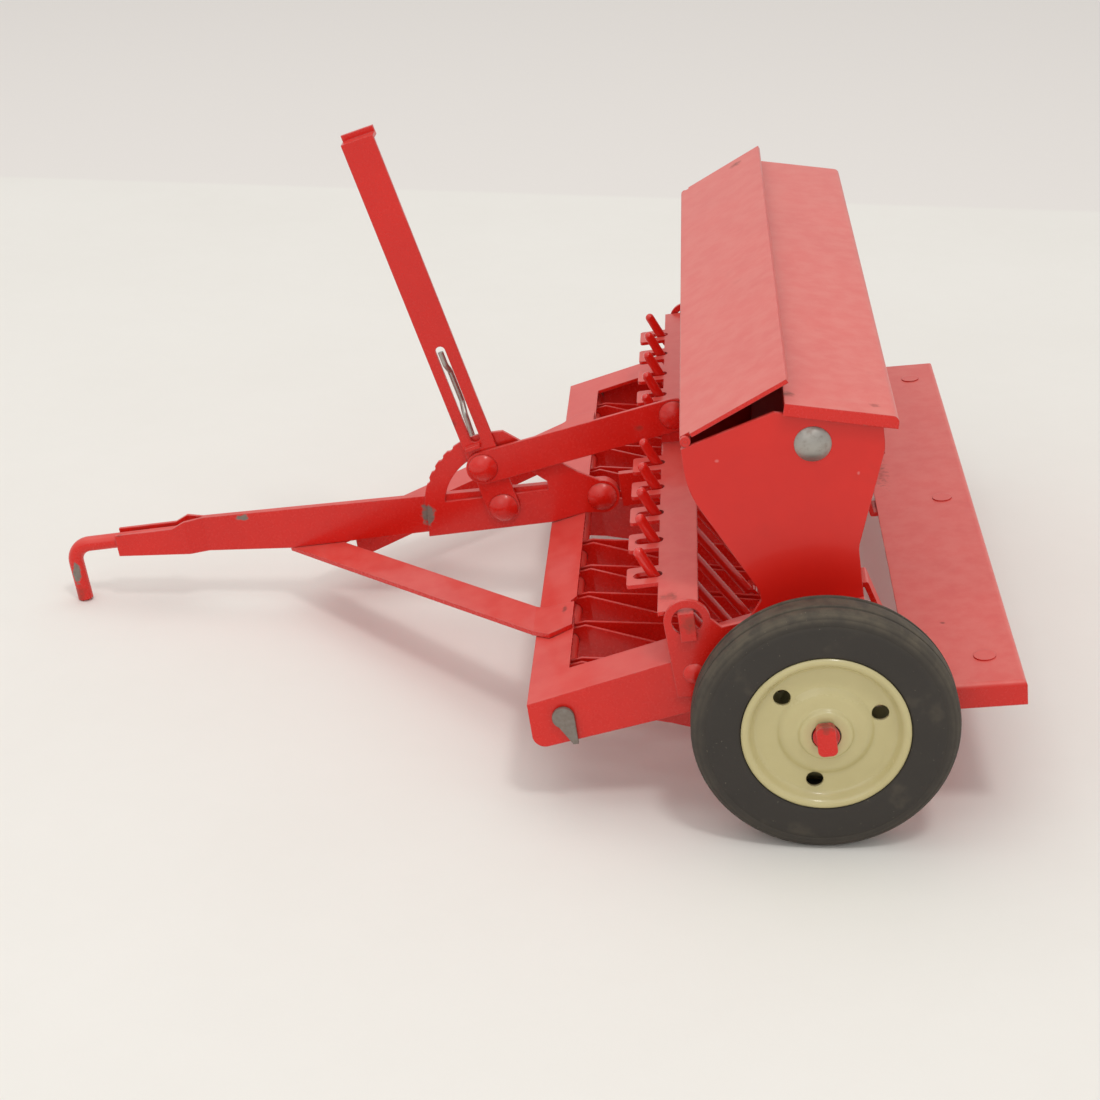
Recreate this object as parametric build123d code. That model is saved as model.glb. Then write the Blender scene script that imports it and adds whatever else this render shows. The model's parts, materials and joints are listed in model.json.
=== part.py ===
from build123d import *
import math
import os

# Pressed-steel 1:16 toy seed drill with a hooked tongue, a lift lever, ten openers and a lidded hopper.
# Body frame: origin at the wheel axle's centre, +X towards the hitch, +Y to the drill's left, +Z up.
# stand_on_floor() tips the finished body nose down until the wheels and the hook's tip share one floor,
# and centres the stored frame under it. All sizes are millimetres.

# ---- sheet, wire and fits ----
SHEET = 1.0                  # frame, tongue, lever and lid steel
THIN_SHEET = 0.7             # opener steel
RUNNING_CLEARANCE = 0.05     # radial, round pin in a round hole
LAYER_GAP = 0.12             # between flat strips that slide on each other
SIDE_GAP = 0.3               # between parts that swing past each other
OPEN_PIVOT_CLEARANCE = 0.5   # radial, where the lever's linkage is left open

# ---- wheels ----
WHEEL_RADIUS = 30.15
TYRE_WIDTH = 12.0
TYRE_SHOULDER = 2.6
TREAD_GROOVE_WIDTH = 0.9
TREAD_GROOVE_DEPTH = 0.5
TREAD_GROOVE_OFFSET = 2.4
RIM_RADIUS = 19.0
SEAT_RADIUS = 16.6
WEB_RADIUS = 15.4
DOME_RADIUS = 10.2
CAP_RADIUS = 5.6
DISC_STEEL = 0.8
RIM_PROUD = 0.3
WEB_SINK = 2.4
DOME_SINK = 0.9
CAP_PROUD = 0.6
WHEEL_HOLE_RADIUS = 1.95
WHEEL_HOLE_CIRCLE = 12.8
WHEEL_HOLES = 3
WHEEL_TURN = 8.0             # degrees that the wheels stand turned
AXLE_RADIUS = 3.0
BUSH_WALL = 1.2
AXLE_END_LENGTH = 2.2
AXLE_END_WIDTH = 4.4
AXLE_END_HEIGHT = 7.4

# ---- frame pressing ----
FRAME_HALF_WIDTH = 105.7
FRAME_FRONT_X = 67.4
FRAME_REAR_X = -12.0
FRAME_FRONT_TOP_Z = 7.65
FRAME_SLOPE = 11.5           # degrees, rising to the rear
FRAME_FRONT_BOTTOM_Z = -4.2
FRAME_BOTTOM_SLOPE = 8.4     # degrees
FRONT_RAIL_WIDTH = 9.6
SIDE_FLANGE_WIDTH = 12.7
CORNER_RADIUS = 3.0
AXLE_LOBE_RADIUS = 7.5
NOTCH_Y = 60.0
NOTCH_LENGTH = 11.0
NOTCH_DEPTH = 1.4

# ---- front rod and openers ----
ROD_X = 59.4
ROD_Z = 3.8
ROD_RADIUS = 2.0
ROD_TAG_RADIUS = 2.6
ROD_TAG_STEEL = 1.0
ROD_TAG_TIP_WIDTH = 1.2
OPENERS = 10
OPENER_SIDE_MARGIN = 2.32    # between the frame's side and a pitch past the outer opener
LEFT_PITCH_SHARE = 0.952     # of the right-hand pitch: the left openers stand closer
LEFT_OUTER_SHARE = 1.13      # and the outermost one stands off
OPENER_FOLD_X = 64.0
OPENER_SPREAD_X = 55.0
OPENER_WIDE_X = 31.0
OPENER_REAR_X = 9.0
OPENER_FRONT_GAP = 1.6
OPENER_REAR_GAP = 13.0
OPENER_HINGE_X = 15.0
OPENER_DROOP = 10.6          # degrees that the openers hang below the frame's line
OPENER_DROOP_X = 55.4
HINGE_WIRE_RADIUS = 0.9
LIFT_ROD_RADIUS = 1.3
LIFT_ROD_KINK = (35.6, 27.4)
LIFT_ROD_TOP = (38.2, 33.4)

# ---- lift rail and its ears ----
RAIL_PIVOT_X = 28.0
RAIL_PIVOT_Z = 24.9
RAIL_TOP_Z = 27.5
RAIL_REAR_X = 25.2
RAIL_FRONT_X = 34.4
TAB_FRONT_X = 41.9
TAB_WIDTH = 9.4
SLOT_REAR_X = 33.4
SLOT_FRONT_X = 40.3
SLOT_WIDTH = 3.4
RAIL_TONGUE_WIDTH = 3.6
RAIL_TONGUE_DROP = 7.0
EAR_RADIUS = 5.3
EAR_HOLE_RADIUS = 3.5
BRACKET_RIVET_X = 28.0
BRACKET_RIVET_Z = 11.6
LUG_RIVET_X = 30.1
LUG_RIVET_Z = 35.5
LUG_RADIUS = 4.2

# ---- tongue, quadrant, lever and link ----
WIRE_RADIUS = 2.1
HOOK_Z = 17.1
HOOK_LEG_X = 202.1
HOOK_TIP_Z = 0.9
HOOK_BEND = 5.0
TONGUE_FRONT_X = 188.5
TONGUE_FRONT_DROP = 3.6
TONGUE_FRONT_RISE = 2.5
TONGUE_TOP_Z = 21.2
TONGUE_BOTTOM_Z = 9.05
JOGGLE_FRONT_X = 168.5
JOGGLE_LENGTH = 5.0
TONGUE_REAR_RADIUS = 4.8
LEVER_PIVOT_X = 79.6
LEVER_PIVOT_Z = 14.4
QUADRANT_RADIUS = 21.8
QUADRANT_WINDOW_RADIUS = 16.2
REAR_RIVET_X = 52.6
REAR_RIVET_Z = 13.7
RIVET_HEAD_RADIUS = 4.0
RIVET_HEAD_HEIGHT = 1.9
RIVET_SHANK_RADIUS = 1.6
LINK_RIVET_X = 83.1
LINK_RIVET_Z = 27.0
LEVER_LENGTH = 108.4
LEVER_WIDTH = 8.8
LEVER_LEAN = 11.2            # degrees forward of upright
LEVER_SLOT_LOW = 21.6        # along the lever, from its pivot
LEVER_SLOT_HIGH = 47.6
LEVER_SLOT_WIDTH = 2.6
LINK_WIDTH = 9.2
LATCH_WIRE_RADIUS = 0.75
BRACE_APEX_X = 140.9
BRACE_ANGLE = 43.9           # degrees from the centre line
BRACE_WIDTH = 9.9
BRACE_STEEL = 1.2
BRACE_FLANGE = 6.2
STRUT_FRONT_X = 47.4
STRUT_REAR_X = 14.5

# ---- hopper and lids ----
HOPPER_INSET = 4.2           # of the hopper's ends inside the frame's sides
HOPPER_FRONT_X = 24.4
HOPPER_BACK_X = -20.0
HOPPER_EAVE_Z = 65.0
RIDGE_X = 3.2
RIDGE_Z = 70.4
HOPPER_WAIST_FRONT_X = 11.1
HOPPER_WAIST_BACK_X = -12.0
HOPPER_FLOOR_Z = 25.0
FRONT_SHOULDER_Z = 54.5
BACK_SHOULDER_Z = 59.0
BACK_WAIST_Z = 36.0
HINGE_RADIUS = 0.6
HINGE_CURL = 0.6             # thickness of the lids' curls round their rods
EAR_RIM = 0.6                # of plate round each hinge rod
FRONT_HINGE_X = 23.2
FRONT_HINGE_Z = 66.0
FRONT_LID_LENGTH = 26.8
FRONT_LID_AJAR = 23.9        # degrees above level
FRONT_LID_OVERHANG = 0.1     # past the hopper's ends
REAR_HINGE_X = -20.6
REAR_HINGE_Z = 64.85
REAR_LID_SLOPE = 14.3        # degrees
REAR_LID_LENGTH = 22.6       # from its hinge to its front edge
REAR_LID_OVERHANG = 1.9
REAR_LID_LIP = 2.6
LIP_STEEL = 0.8
REAR_LID_BACK = 1.6          # from the hinge to the inside of the turned-down back edge
REAR_LID_BEND = 1.6
END_RIVET_X = -4.4
END_RIVET_Z = 62.0
END_RIVET_RADIUS = 4.15

# ---- footboard ----
BOARD_FRONT_X = -20.6
BOARD_REAR_X = -46.3
BOARD_OVERHANG = 0.8         # past the frame's sides
BOARD_TOP_Z = 1.6
BOARD_FLANGE = 6.0
BOARD_TILT = 2.5             # degrees, falling to the rear
BOARD_RIVET_X = -38.4
BOARD_RIVET_INSET = 12.8     # from the frame's sides
BOARD_RIVET_RADIUS = 2.6
STRAP_WIDTH = 8.0
STRAP_STEEL = 1.2
STRAP_KNEE_X = -18.2
STRAP_KNEE_Z = 6.0

SIDES = {"left": 1, "right": -1}

# Sizes that follow from the ones above.
HOPPER_HALF_WIDTH = FRAME_HALF_WIDTH - HOPPER_INSET
FRONT_LID_HALF_WIDTH = HOPPER_HALF_WIDTH + FRONT_LID_OVERHANG
REAR_LID_HALF_WIDTH = HOPPER_HALF_WIDTH + REAR_LID_OVERHANG
BOARD_HALF_WIDTH = FRAME_HALF_WIDTH + BOARD_OVERHANG
BOARD_RIVET_Y = FRAME_HALF_WIDTH - BOARD_RIVET_INSET
OPENER_PITCH = (FRAME_HALF_WIDTH - OPENER_SIDE_MARGIN) / (OPENERS // 2 + 1)
OPENER_HINGE_Z = 2.0 - (OPENER_DROOP_X - OPENER_HINGE_X) * math.tan(math.radians(OPENER_DROOP))
BRACKET_OUTER_Y = FRAME_HALF_WIDTH + SHEET
WHEEL_INNER_Y = BRACKET_OUTER_Y + 2.0
WHEEL_MID_Y = WHEEL_INNER_Y + TYRE_WIDTH / 2
AXLE_BORE = AXLE_RADIUS + RUNNING_CLEARANCE
WHEEL_CAP_Y = TYRE_WIDTH / 2 + CAP_PROUD
BUSH_HALF_LENGTH = WHEEL_CAP_Y - DISC_STEEL
AXLE_HALF_LENGTH = WHEEL_MID_Y + WHEEL_CAP_Y + SIDE_GAP
QUADRANT_INNER_Y = SHEET
LEVER_INNER_Y = QUADRANT_INNER_Y + SHEET + LAYER_GAP
LINK_INNER_Y = LEVER_INNER_Y + SHEET + LAYER_GAP
LINK_OUTER_Y = LINK_INNER_Y + SHEET


def side_plane(y):
    """Plane of a side view at the given Y, with X forward and Z up."""
    return Plane(origin=(0, y, 0), x_dir=(1, 0, 0), z_dir=(0, -1, 0))


def side_plate(outline, inner_y, thickness):
    """Extrude a side-view outline outwards from inner_y by thickness, towards +Y."""
    return extrude(side_plane(inner_y + thickness) * outline, amount=thickness)


def polygon(points):
    return make_face(Polyline(*points, close=True))


def disc_at(x, z, radius):
    """Side-view circle."""
    return Pos(x, z) * Circle(radius)


def cross_pin(x, z, radius, low_y, high_y):
    """Round bar along Y."""
    return side_plate(disc_at(x, z, radius), low_y, high_y - low_y)


def mirrored(shape, side):
    """The shape as drawn for +Y, or its mirror image on the other side."""
    return shape if side > 0 else mirror(shape, about=Plane.XZ)


def strip_outline(start, end, width, round_start=True, round_end=True):
    """Side-view strip between two points, with its ends rounded about them where asked."""
    length = math.dist(start, end)
    angle = math.degrees(math.atan2(end[1] - start[1], end[0] - start[0]))
    outline = Pos(length / 2, 0) * Rectangle(length, width)
    if round_start:
        outline += Circle(width / 2)
    if round_end:
        outline += Pos(length, 0) * Circle(width / 2)
    return Pos(*start) * Rot(0, 0, angle) * outline


def domed_head(x, z, radius, height, seat_y):
    """Rivet head: a slice of a ball standing out of a face at seat_y, towards +Y."""
    ball_radius = (radius ** 2 + height ** 2) / (2 * height)
    ball = Pos(x, seat_y + height - ball_radius, z) * Sphere(ball_radius)
    return ball & cross_pin(x, z, radius + SHEET, seat_y, seat_y + height + SHEET)


def rivet(x, z, tail_y, seat_y, shank=RIVET_SHANK_RADIUS, head=RIVET_HEAD_RADIUS, height=RIVET_HEAD_HEIGHT):
    """Domed head on the +Y side, a shank, and a low bucked tail on the other side."""
    tail = cross_pin(x, z, shank + 0.9, tail_y - 0.7, tail_y)
    return cross_pin(x, z, shank, tail_y - 0.3, seat_y + 0.3) + domed_head(x, z, head, height, seat_y) + tail


def frame_top_z(x):
    """Height of the frame's sloping top face."""
    return FRAME_FRONT_TOP_Z + (FRAME_FRONT_X - x) * math.tan(math.radians(FRAME_SLOPE))


# ---- wheels ----

def disc_face():
    """Outer face of the pressed disc from the hub to the rim, as (radius, distance from mid-wheel)."""
    half = TYRE_WIDTH / 2
    return [
        (AXLE_BORE + 0.2, WHEEL_CAP_Y),
        (CAP_RADIUS - 1.0, WHEEL_CAP_Y),
        (CAP_RADIUS, half - DOME_SINK),
        (DOME_RADIUS - 1.6, half - DOME_SINK),
        (DOME_RADIUS, half - WEB_SINK),
        (WEB_RADIUS, half - WEB_SINK),
        (RIM_RADIUS - 1.6, half - DOME_SINK + 0.2),
        (RIM_RADIUS, half + RIM_PROUD),
    ]


def wheel_disc():
    """One of the two pressed discs that clamp the tyre, facing +Y from mid-wheel."""
    outer = disc_face()
    inner = [(r, y - DISC_STEEL) for r, y in reversed(outer)]
    disc = revolve(polygon(outer + inner), axis=Axis.Y)
    hole = cross_pin(WHEEL_HOLE_CIRCLE, 0, WHEEL_HOLE_RADIUS, 0, TYRE_WIDTH)
    for turn in range(WHEEL_HOLES):
        disc -= Rot(0, 90 - WHEEL_TURN + turn * 360 / WHEEL_HOLES, 0) * hole
    return disc


def tyre():
    """Solid rubber ring with rounded shoulders, two tread grooves and a seat under the discs' rims."""
    half = TYRE_WIDTH / 2
    seat_rise = disc_face()[-2]
    lip_inner = half + RIM_PROUD - DISC_STEEL
    slope = (seat_rise[1] - half + WEB_SINK) / (seat_rise[0] - WEB_RADIUS)
    seat_y = half - WEB_SINK + (SEAT_RADIUS - WEB_RADIUS) * slope - DISC_STEEL
    right = [
        (SEAT_RADIUS, seat_y),
        (seat_rise[0], seat_rise[1] - DISC_STEEL),
        (RIM_RADIUS, lip_inner),
        (RIM_RADIUS + RUNNING_CLEARANCE, half),
        (WHEEL_RADIUS, half),
    ]
    left = [(r, -y) for r, y in reversed(right)]
    section = polygon(right + left)
    corners = [v for v in section.vertices() if v.X > WHEEL_RADIUS - 0.01]
    section = fillet(corners, TYRE_SHOULDER)
    for offset_y in (-TREAD_GROOVE_OFFSET, TREAD_GROOVE_OFFSET):
        section -= Pos(WHEEL_RADIUS, offset_y) * Rectangle(2 * TREAD_GROOVE_DEPTH, TREAD_GROOVE_WIDTH)
    return revolve(section, axis=Axis.Y)


def wheel_parts(side_name, side):
    """Tyre, two discs and a bush, all turning on the axle."""
    centre = Pos(0, side * WHEEL_MID_Y, 0)
    disc = wheel_disc()
    bush = cross_pin(0, 0, AXLE_BORE + BUSH_WALL, -BUSH_HALF_LENGTH, BUSH_HALF_LENGTH)
    bush -= cross_pin(0, 0, AXLE_BORE, -TYRE_WIDTH, TYRE_WIDTH)
    return {
        f"{side_name}_tyre": centre * tyre(),
        f"{side_name}_wheel_outer_disc": centre * mirrored(disc, side),
        f"{side_name}_wheel_inner_disc": centre * mirrored(disc, -side),
        f"{side_name}_wheel_bush": centre * bush,
    }


def axle():
    """Straight axle whose ends are flattened outside the wheels to keep them on."""
    bar = cross_pin(0, 0, AXLE_RADIUS, -AXLE_HALF_LENGTH, AXLE_HALF_LENGTH)
    for side in SIDES.values():
        end = Box(AXLE_END_WIDTH, AXLE_END_LENGTH, AXLE_END_HEIGHT)
        end = fillet(end.edges().filter_by(Axis.Y), 1.4)
        bar += Pos(0, side * (AXLE_HALF_LENGTH + AXLE_END_LENGTH / 2), 0) * end
    return bar


# ---- frame ----

def frame_side_outline():
    """Side web: sloping top and bottom edges, with a lobe round the axle."""
    bottom_x = 22.0
    bottom_z = FRAME_FRONT_BOTTOM_Z + (FRAME_FRONT_X - bottom_x) * math.tan(math.radians(FRAME_BOTTOM_SLOPE))
    outline = polygon([
        (FRAME_FRONT_X, frame_top_z(FRAME_FRONT_X)),
        (FRAME_REAR_X, frame_top_z(FRAME_REAR_X)),
        (FRAME_REAR_X, FRAME_FRONT_TOP_Z),
        (-AXLE_LOBE_RADIUS, 0),
        (AXLE_LOBE_RADIUS, 0),
        (bottom_x, bottom_z),
        (FRAME_FRONT_X, FRAME_FRONT_BOTTOM_Z),
    ])
    corner = outline.vertices().sort_by(Axis.Y)[0]
    outline = fillet(corner, CORNER_RADIUS)
    return outline + Circle(AXLE_LOBE_RADIUS)


def frame_flange(rear_x, low_y, high_y):
    """Part of the sloping top face, one sheet thick, between two Y values."""
    drop = SHEET / math.cos(math.radians(FRAME_SLOPE))
    top = [(FRAME_FRONT_X, frame_top_z(FRAME_FRONT_X)), (rear_x, frame_top_z(rear_x))]
    under = [(x, z - drop) for x, z in reversed(top)]
    return side_plate(polygon(top + under), low_y, high_y - low_y)


def frame():
    """One pressing: front rail, two side rails with inward top flanges, and webs that carry the axle."""
    rail_rear_x = FRAME_FRONT_X - FRONT_RAIL_WIDTH
    rail = frame_flange(rail_rear_x, -FRAME_HALF_WIDTH, FRAME_HALF_WIDTH)
    for side in SIDES.values():
        notch = Box(2 * NOTCH_DEPTH, NOTCH_LENGTH, FRONT_RAIL_WIDTH)
        notch = chamfer(notch.edges().filter_by(Axis.Z), NOTCH_DEPTH * 0.9)
        rail -= Pos(rail_rear_x, side * NOTCH_Y, frame_top_z(rail_rear_x)) * notch
    apron_height = FRAME_FRONT_TOP_Z - FRAME_FRONT_BOTTOM_Z
    apron = Box(SHEET, 2 * FRAME_HALF_WIDTH, apron_height - CORNER_RADIUS)
    apron_z = FRAME_FRONT_TOP_Z - (apron_height - CORNER_RADIUS) / 2
    shape = rail + Pos(FRAME_FRONT_X - SHEET / 2, 0, apron_z) * apron
    inner_y = FRAME_HALF_WIDTH - SHEET
    web = side_plate(frame_side_outline(), inner_y, SHEET)
    flange = frame_flange(FRAME_REAR_X, FRAME_HALF_WIDTH - SIDE_FLANGE_WIDTH, FRAME_HALF_WIDTH)
    side_rail = web + flange
    side_rail -= cross_pin(0, 0, AXLE_RADIUS, inner_y - SHEET, FRAME_HALF_WIDTH + SHEET)
    side_rail -= cross_pin(ROD_X, ROD_Z, ROD_RADIUS, inner_y - SHEET, FRAME_HALF_WIDTH + SHEET)
    side_rail -= bracket_rivet_bore()
    shape += side_rail
    shape += mirror(side_rail, about=Plane.XZ)
    return shape


def front_rod():
    """Rod that the openers swing on, with its ends flattened and bent down into pointed tags."""
    reach = FRAME_HALF_WIDTH + 0.4
    bar = cross_pin(ROD_X, ROD_Z, ROD_RADIUS, -reach, reach)
    tip_z = FRAME_FRONT_BOTTOM_Z + SHEET
    tip_x = ROD_X - ROD_TAG_RADIUS + ROD_TAG_TIP_WIDTH
    tag_outline = polygon([
        (ROD_X + ROD_TAG_RADIUS, ROD_Z),
        (ROD_X - ROD_TAG_RADIUS, ROD_Z),
        (tip_x - ROD_TAG_TIP_WIDTH, tip_z),
        (tip_x, tip_z),
    ])
    tag_outline += disc_at(ROD_X, ROD_Z, ROD_TAG_RADIUS)
    tag = side_plate(tag_outline, FRAME_HALF_WIDTH + 0.2, ROD_TAG_STEEL)
    return bar + tag + mirror(tag, about=Plane.XZ)


def bracket_rivet_bore():
    return cross_pin(BRACKET_RIVET_X, BRACKET_RIVET_Z, RIVET_SHANK_RADIUS, FRAME_HALF_WIDTH - 3, FRAME_HALF_WIDTH + 3)


def side_bracket(side):
    """Upright plate riveted outside the frame: an ear for the lift rail and a shoulder below the hopper."""
    shoulder_z = 22.6
    outline = polygon([
        (RAIL_PIVOT_X + EAR_RADIUS, RAIL_PIVOT_Z),
        (RAIL_PIVOT_X - EAR_RADIUS, RAIL_PIVOT_Z),
        (20.5, shoulder_z),
        (13.4, shoulder_z + 0.9),
        (FRAME_REAR_X, shoulder_z + 0.9),
        (FRAME_REAR_X, FRAME_FRONT_TOP_Z + 4),
        (20.0, 5.0),
        (32.5, 6.0),
    ])
    outline += disc_at(RAIL_PIVOT_X, RAIL_PIVOT_Z, EAR_RADIUS)
    plate = side_plate(outline, FRAME_HALF_WIDTH, SHEET)
    plate -= cross_pin(RAIL_PIVOT_X, RAIL_PIVOT_Z, EAR_HOLE_RADIUS, FRAME_HALF_WIDTH - 1, BRACKET_OUTER_Y + 1)
    plate -= bracket_rivet_bore()
    return mirrored(plate, side)


def bracket_rivets():
    one = rivet(BRACKET_RIVET_X, BRACKET_RIVET_Z, FRAME_HALF_WIDTH - SHEET, BRACKET_OUTER_Y, head=2.6, height=1.2)
    return [one, mirror(one, about=Plane.XZ)]


# ---- openers and lift rods ----

def opener_y(index):
    """Y of opener 1 to 10, counted from the left, with the centre position left free for the link's lug."""
    half = OPENERS // 2
    if index > half:
        return (half - index) * OPENER_PITCH
    if index > 1:
        return (half - index + 1) * OPENER_PITCH * LEFT_PITCH_SHARE
    return opener_y(2) + OPENER_PITCH * LEFT_OUTER_SHARE


def opener_leaf_plan():
    """Plan view of the left leaf: a strip that leaves the fold, spreads and runs straight to the rear."""
    near = OPENER_FRONT_GAP / 2
    far = OPENER_REAR_GAP / 2
    inner = [
        (OPENER_FOLD_X, 0),
        (OPENER_FOLD_X - near, near),
        (OPENER_SPREAD_X, near),
        (OPENER_WIDE_X, far),
        (OPENER_REAR_X, far),
    ]
    outer = [
        (OPENER_REAR_X, far + THIN_SHEET),
        (OPENER_WIDE_X, far + THIN_SHEET),
        (OPENER_SPREAD_X, near + THIN_SHEET),
        (OPENER_FOLD_X - near, near + THIN_SHEET),
        (OPENER_FOLD_X + THIN_SHEET, 0),
    ]
    return polygon(inner + outer)


def drooped(x, z):
    """A side-view point lowered with the openers' hanging rear ends."""
    behind = max(0, OPENER_DROOP_X - x)
    return x, z - behind * math.tan(math.radians(OPENER_DROOP))


def opener_side_outline():
    """Side view: a deep front round the rod, a top edge falling rearwards and a pointed lower rear corner."""
    return polygon([
        (OPENER_FOLD_X + SHEET, ROD_Z + 2.2),
        (OPENER_DROOP_X, ROD_Z + 3.6),
        drooped(OPENER_WIDE_X + 5, 5.6),
        drooped(OPENER_REAR_X + 3, 5.0),
        drooped(OPENER_REAR_X, 0.5),
        drooped(OPENER_REAR_X + 7, -6.5),
        drooped(OPENER_WIDE_X + 5, -5.4),
        (48.0, -7.0),
        (OPENER_FOLD_X + SHEET, ROD_Z - 8.0),
    ])


def opener(index):
    """Folded sheet with two leaves, a hole for the front rod and a hinge wire between the leaves."""
    leaf = extrude(opener_leaf_plan(), amount=WHEEL_RADIUS, both=True)
    leaf &= side_plate(opener_side_outline(), -OPENER_PITCH, 2 * OPENER_PITCH)
    sheet = leaf + mirror(leaf, about=Plane.XZ)
    reach = OPENER_REAR_GAP / 2 + THIN_SHEET
    sheet += cross_pin(OPENER_HINGE_X, OPENER_HINGE_Z, HINGE_WIRE_RADIUS, -reach, reach)
    boss_reach = OPENER_FRONT_GAP / 2 + THIN_SHEET
    boss = cross_pin(ROD_X, ROD_Z, ROD_RADIUS + RUNNING_CLEARANCE + THIN_SHEET, -boss_reach, boss_reach)
    sheet += boss
    sheet -= cross_pin(ROD_X, ROD_Z, ROD_RADIUS + RUNNING_CLEARANCE, -OPENER_PITCH, OPENER_PITCH)
    return Pos(0, opener_y(index), 0) * sheet


def lift_rod(index):
    """Wire from an eye on the opener's hinge wire, up through the rail's slot to a round-topped end."""
    start = (OPENER_HINGE_X, OPENER_HINGE_Z)
    eye_radius = HINGE_WIRE_RADIUS + RUNNING_CLEARANCE + 1.0
    angle = math.atan2(LIFT_ROD_KINK[1] - start[1], LIFT_ROD_KINK[0] - start[0])
    clear = HINGE_WIRE_RADIUS + 0.6
    foot = (start[0] + clear * math.cos(angle), start[1] + clear * math.sin(angle))
    path = Polyline((foot[0], 0, foot[1]), (LIFT_ROD_KINK[0], 0, LIFT_ROD_KINK[1]), (LIFT_ROD_TOP[0], 0, LIFT_ROD_TOP[1]))
    path_start = Plane(origin=(foot[0], 0, foot[1]), z_dir=(math.cos(angle), 0, math.sin(angle)))
    wire = sweep(path_start * Circle(LIFT_ROD_RADIUS), path=path, transition=Transition.ROUND)
    wire += Pos(LIFT_ROD_TOP[0], 0, LIFT_ROD_TOP[1]) * Sphere(LIFT_ROD_RADIUS)
    wire += cross_pin(start[0], start[1], eye_radius, -LIFT_ROD_RADIUS, LIFT_ROD_RADIUS)
    wire -= cross_pin(start[0], start[1], HINGE_WIRE_RADIUS + RUNNING_CLEARANCE, -3, 3)
    return Pos(0, opener_y(index), 0) * wire


# ---- lift rail ----

def lift_rail():
    """Rocking comb plate: ten slotted tabs, a centre lug for the link and two bent end tongues."""
    reach = FRAME_HALF_WIDTH - SIDE_GAP
    depth = RAIL_FRONT_X - RAIL_REAR_X
    middle_x = (RAIL_FRONT_X + RAIL_REAR_X) / 2
    plan = Pos(middle_x, 0) * Rectangle(depth, 2 * reach)
    for index in range(1, OPENERS + 1):
        tab_length = TAB_FRONT_X - middle_x
        plan += Pos(middle_x + tab_length / 2, opener_y(index)) * Rectangle(tab_length, TAB_WIDTH)
    corners = [v for v in plan.vertices() if v.X > TAB_FRONT_X - 0.01]
    plan = fillet(corners, 1.0)
    for index in range(1, OPENERS + 1):
        slot_length = SLOT_FRONT_X - SLOT_REAR_X
        plan -= Pos((SLOT_FRONT_X + SLOT_REAR_X) / 2, opener_y(index)) * SlotOverall(slot_length, SLOT_WIDTH)
    plate = extrude(Pos(0, 0, RAIL_TOP_Z - SHEET) * plan, amount=SHEET)
    tongue_top = BRACKET_OUTER_Y + SIDE_GAP + SHEET
    tongue_centre_x = RAIL_PIVOT_X
    for side in SIDES.values():
        run = tongue_top - reach + SHEET
        bar = Box(RAIL_TONGUE_WIDTH, run, SHEET)
        plate += Pos(tongue_centre_x, side * (tongue_top - run / 2), RAIL_TOP_Z - SHEET / 2) * bar
        drop = Box(RAIL_TONGUE_WIDTH, SHEET, RAIL_TONGUE_DROP)
        plate += Pos(tongue_centre_x, side * (tongue_top - SHEET / 2), RAIL_TOP_Z - RAIL_TONGUE_DROP / 2) * drop
    lug = polygon([
        (RAIL_REAR_X, RAIL_TOP_Z - SHEET),
        (RAIL_FRONT_X, RAIL_TOP_Z - SHEET),
        (LUG_RIVET_X + LUG_RADIUS, LUG_RIVET_Z),
        (LUG_RIVET_X - LUG_RADIUS, LUG_RIVET_Z),
    ])
    lug += disc_at(LUG_RIVET_X, LUG_RIVET_Z, LUG_RADIUS)
    lug -= disc_at(LUG_RIVET_X, LUG_RIVET_Z, RIVET_SHANK_RADIUS)
    return plate + side_plate(lug, LEVER_INNER_Y, SHEET)


def lug_rivet():
    """Rivet fast in the rail's lug; the link's rear hole is loose round it."""
    return rivet(LUG_RIVET_X, LUG_RIVET_Z, LEVER_INNER_Y, LINK_OUTER_Y + LAYER_GAP)


# ---- tongue and quadrant ----

def tongue_side_outline():
    """Side view of a tongue strip: narrow round the wire, then a step up to the wide rear part."""
    rail_rear_x = FRAME_FRONT_X - FRONT_RAIL_WIDTH
    outline = polygon([
        (TONGUE_FRONT_X, HOOK_Z - TONGUE_FRONT_DROP),
        (TONGUE_FRONT_X, HOOK_Z + TONGUE_FRONT_RISE),
        (JOGGLE_FRONT_X + 3.5, HOOK_Z + TONGUE_FRONT_RISE),
        (JOGGLE_FRONT_X, TONGUE_TOP_Z),
        (REAR_RIVET_X, REAR_RIVET_Z + TONGUE_REAR_RADIUS),
        (REAR_RIVET_X, REAR_RIVET_Z - TONGUE_REAR_RADIUS),
        (rail_rear_x, frame_top_z(rail_rear_x) + RUNNING_CLEARANCE),
        (rail_rear_x + 5, TONGUE_BOTTOM_Z),
        (BRACE_APEX_X, TONGUE_BOTTOM_Z),
    ])
    return outline + disc_at(REAR_RIVET_X, REAR_RIVET_Z, TONGUE_REAR_RADIUS)


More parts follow.
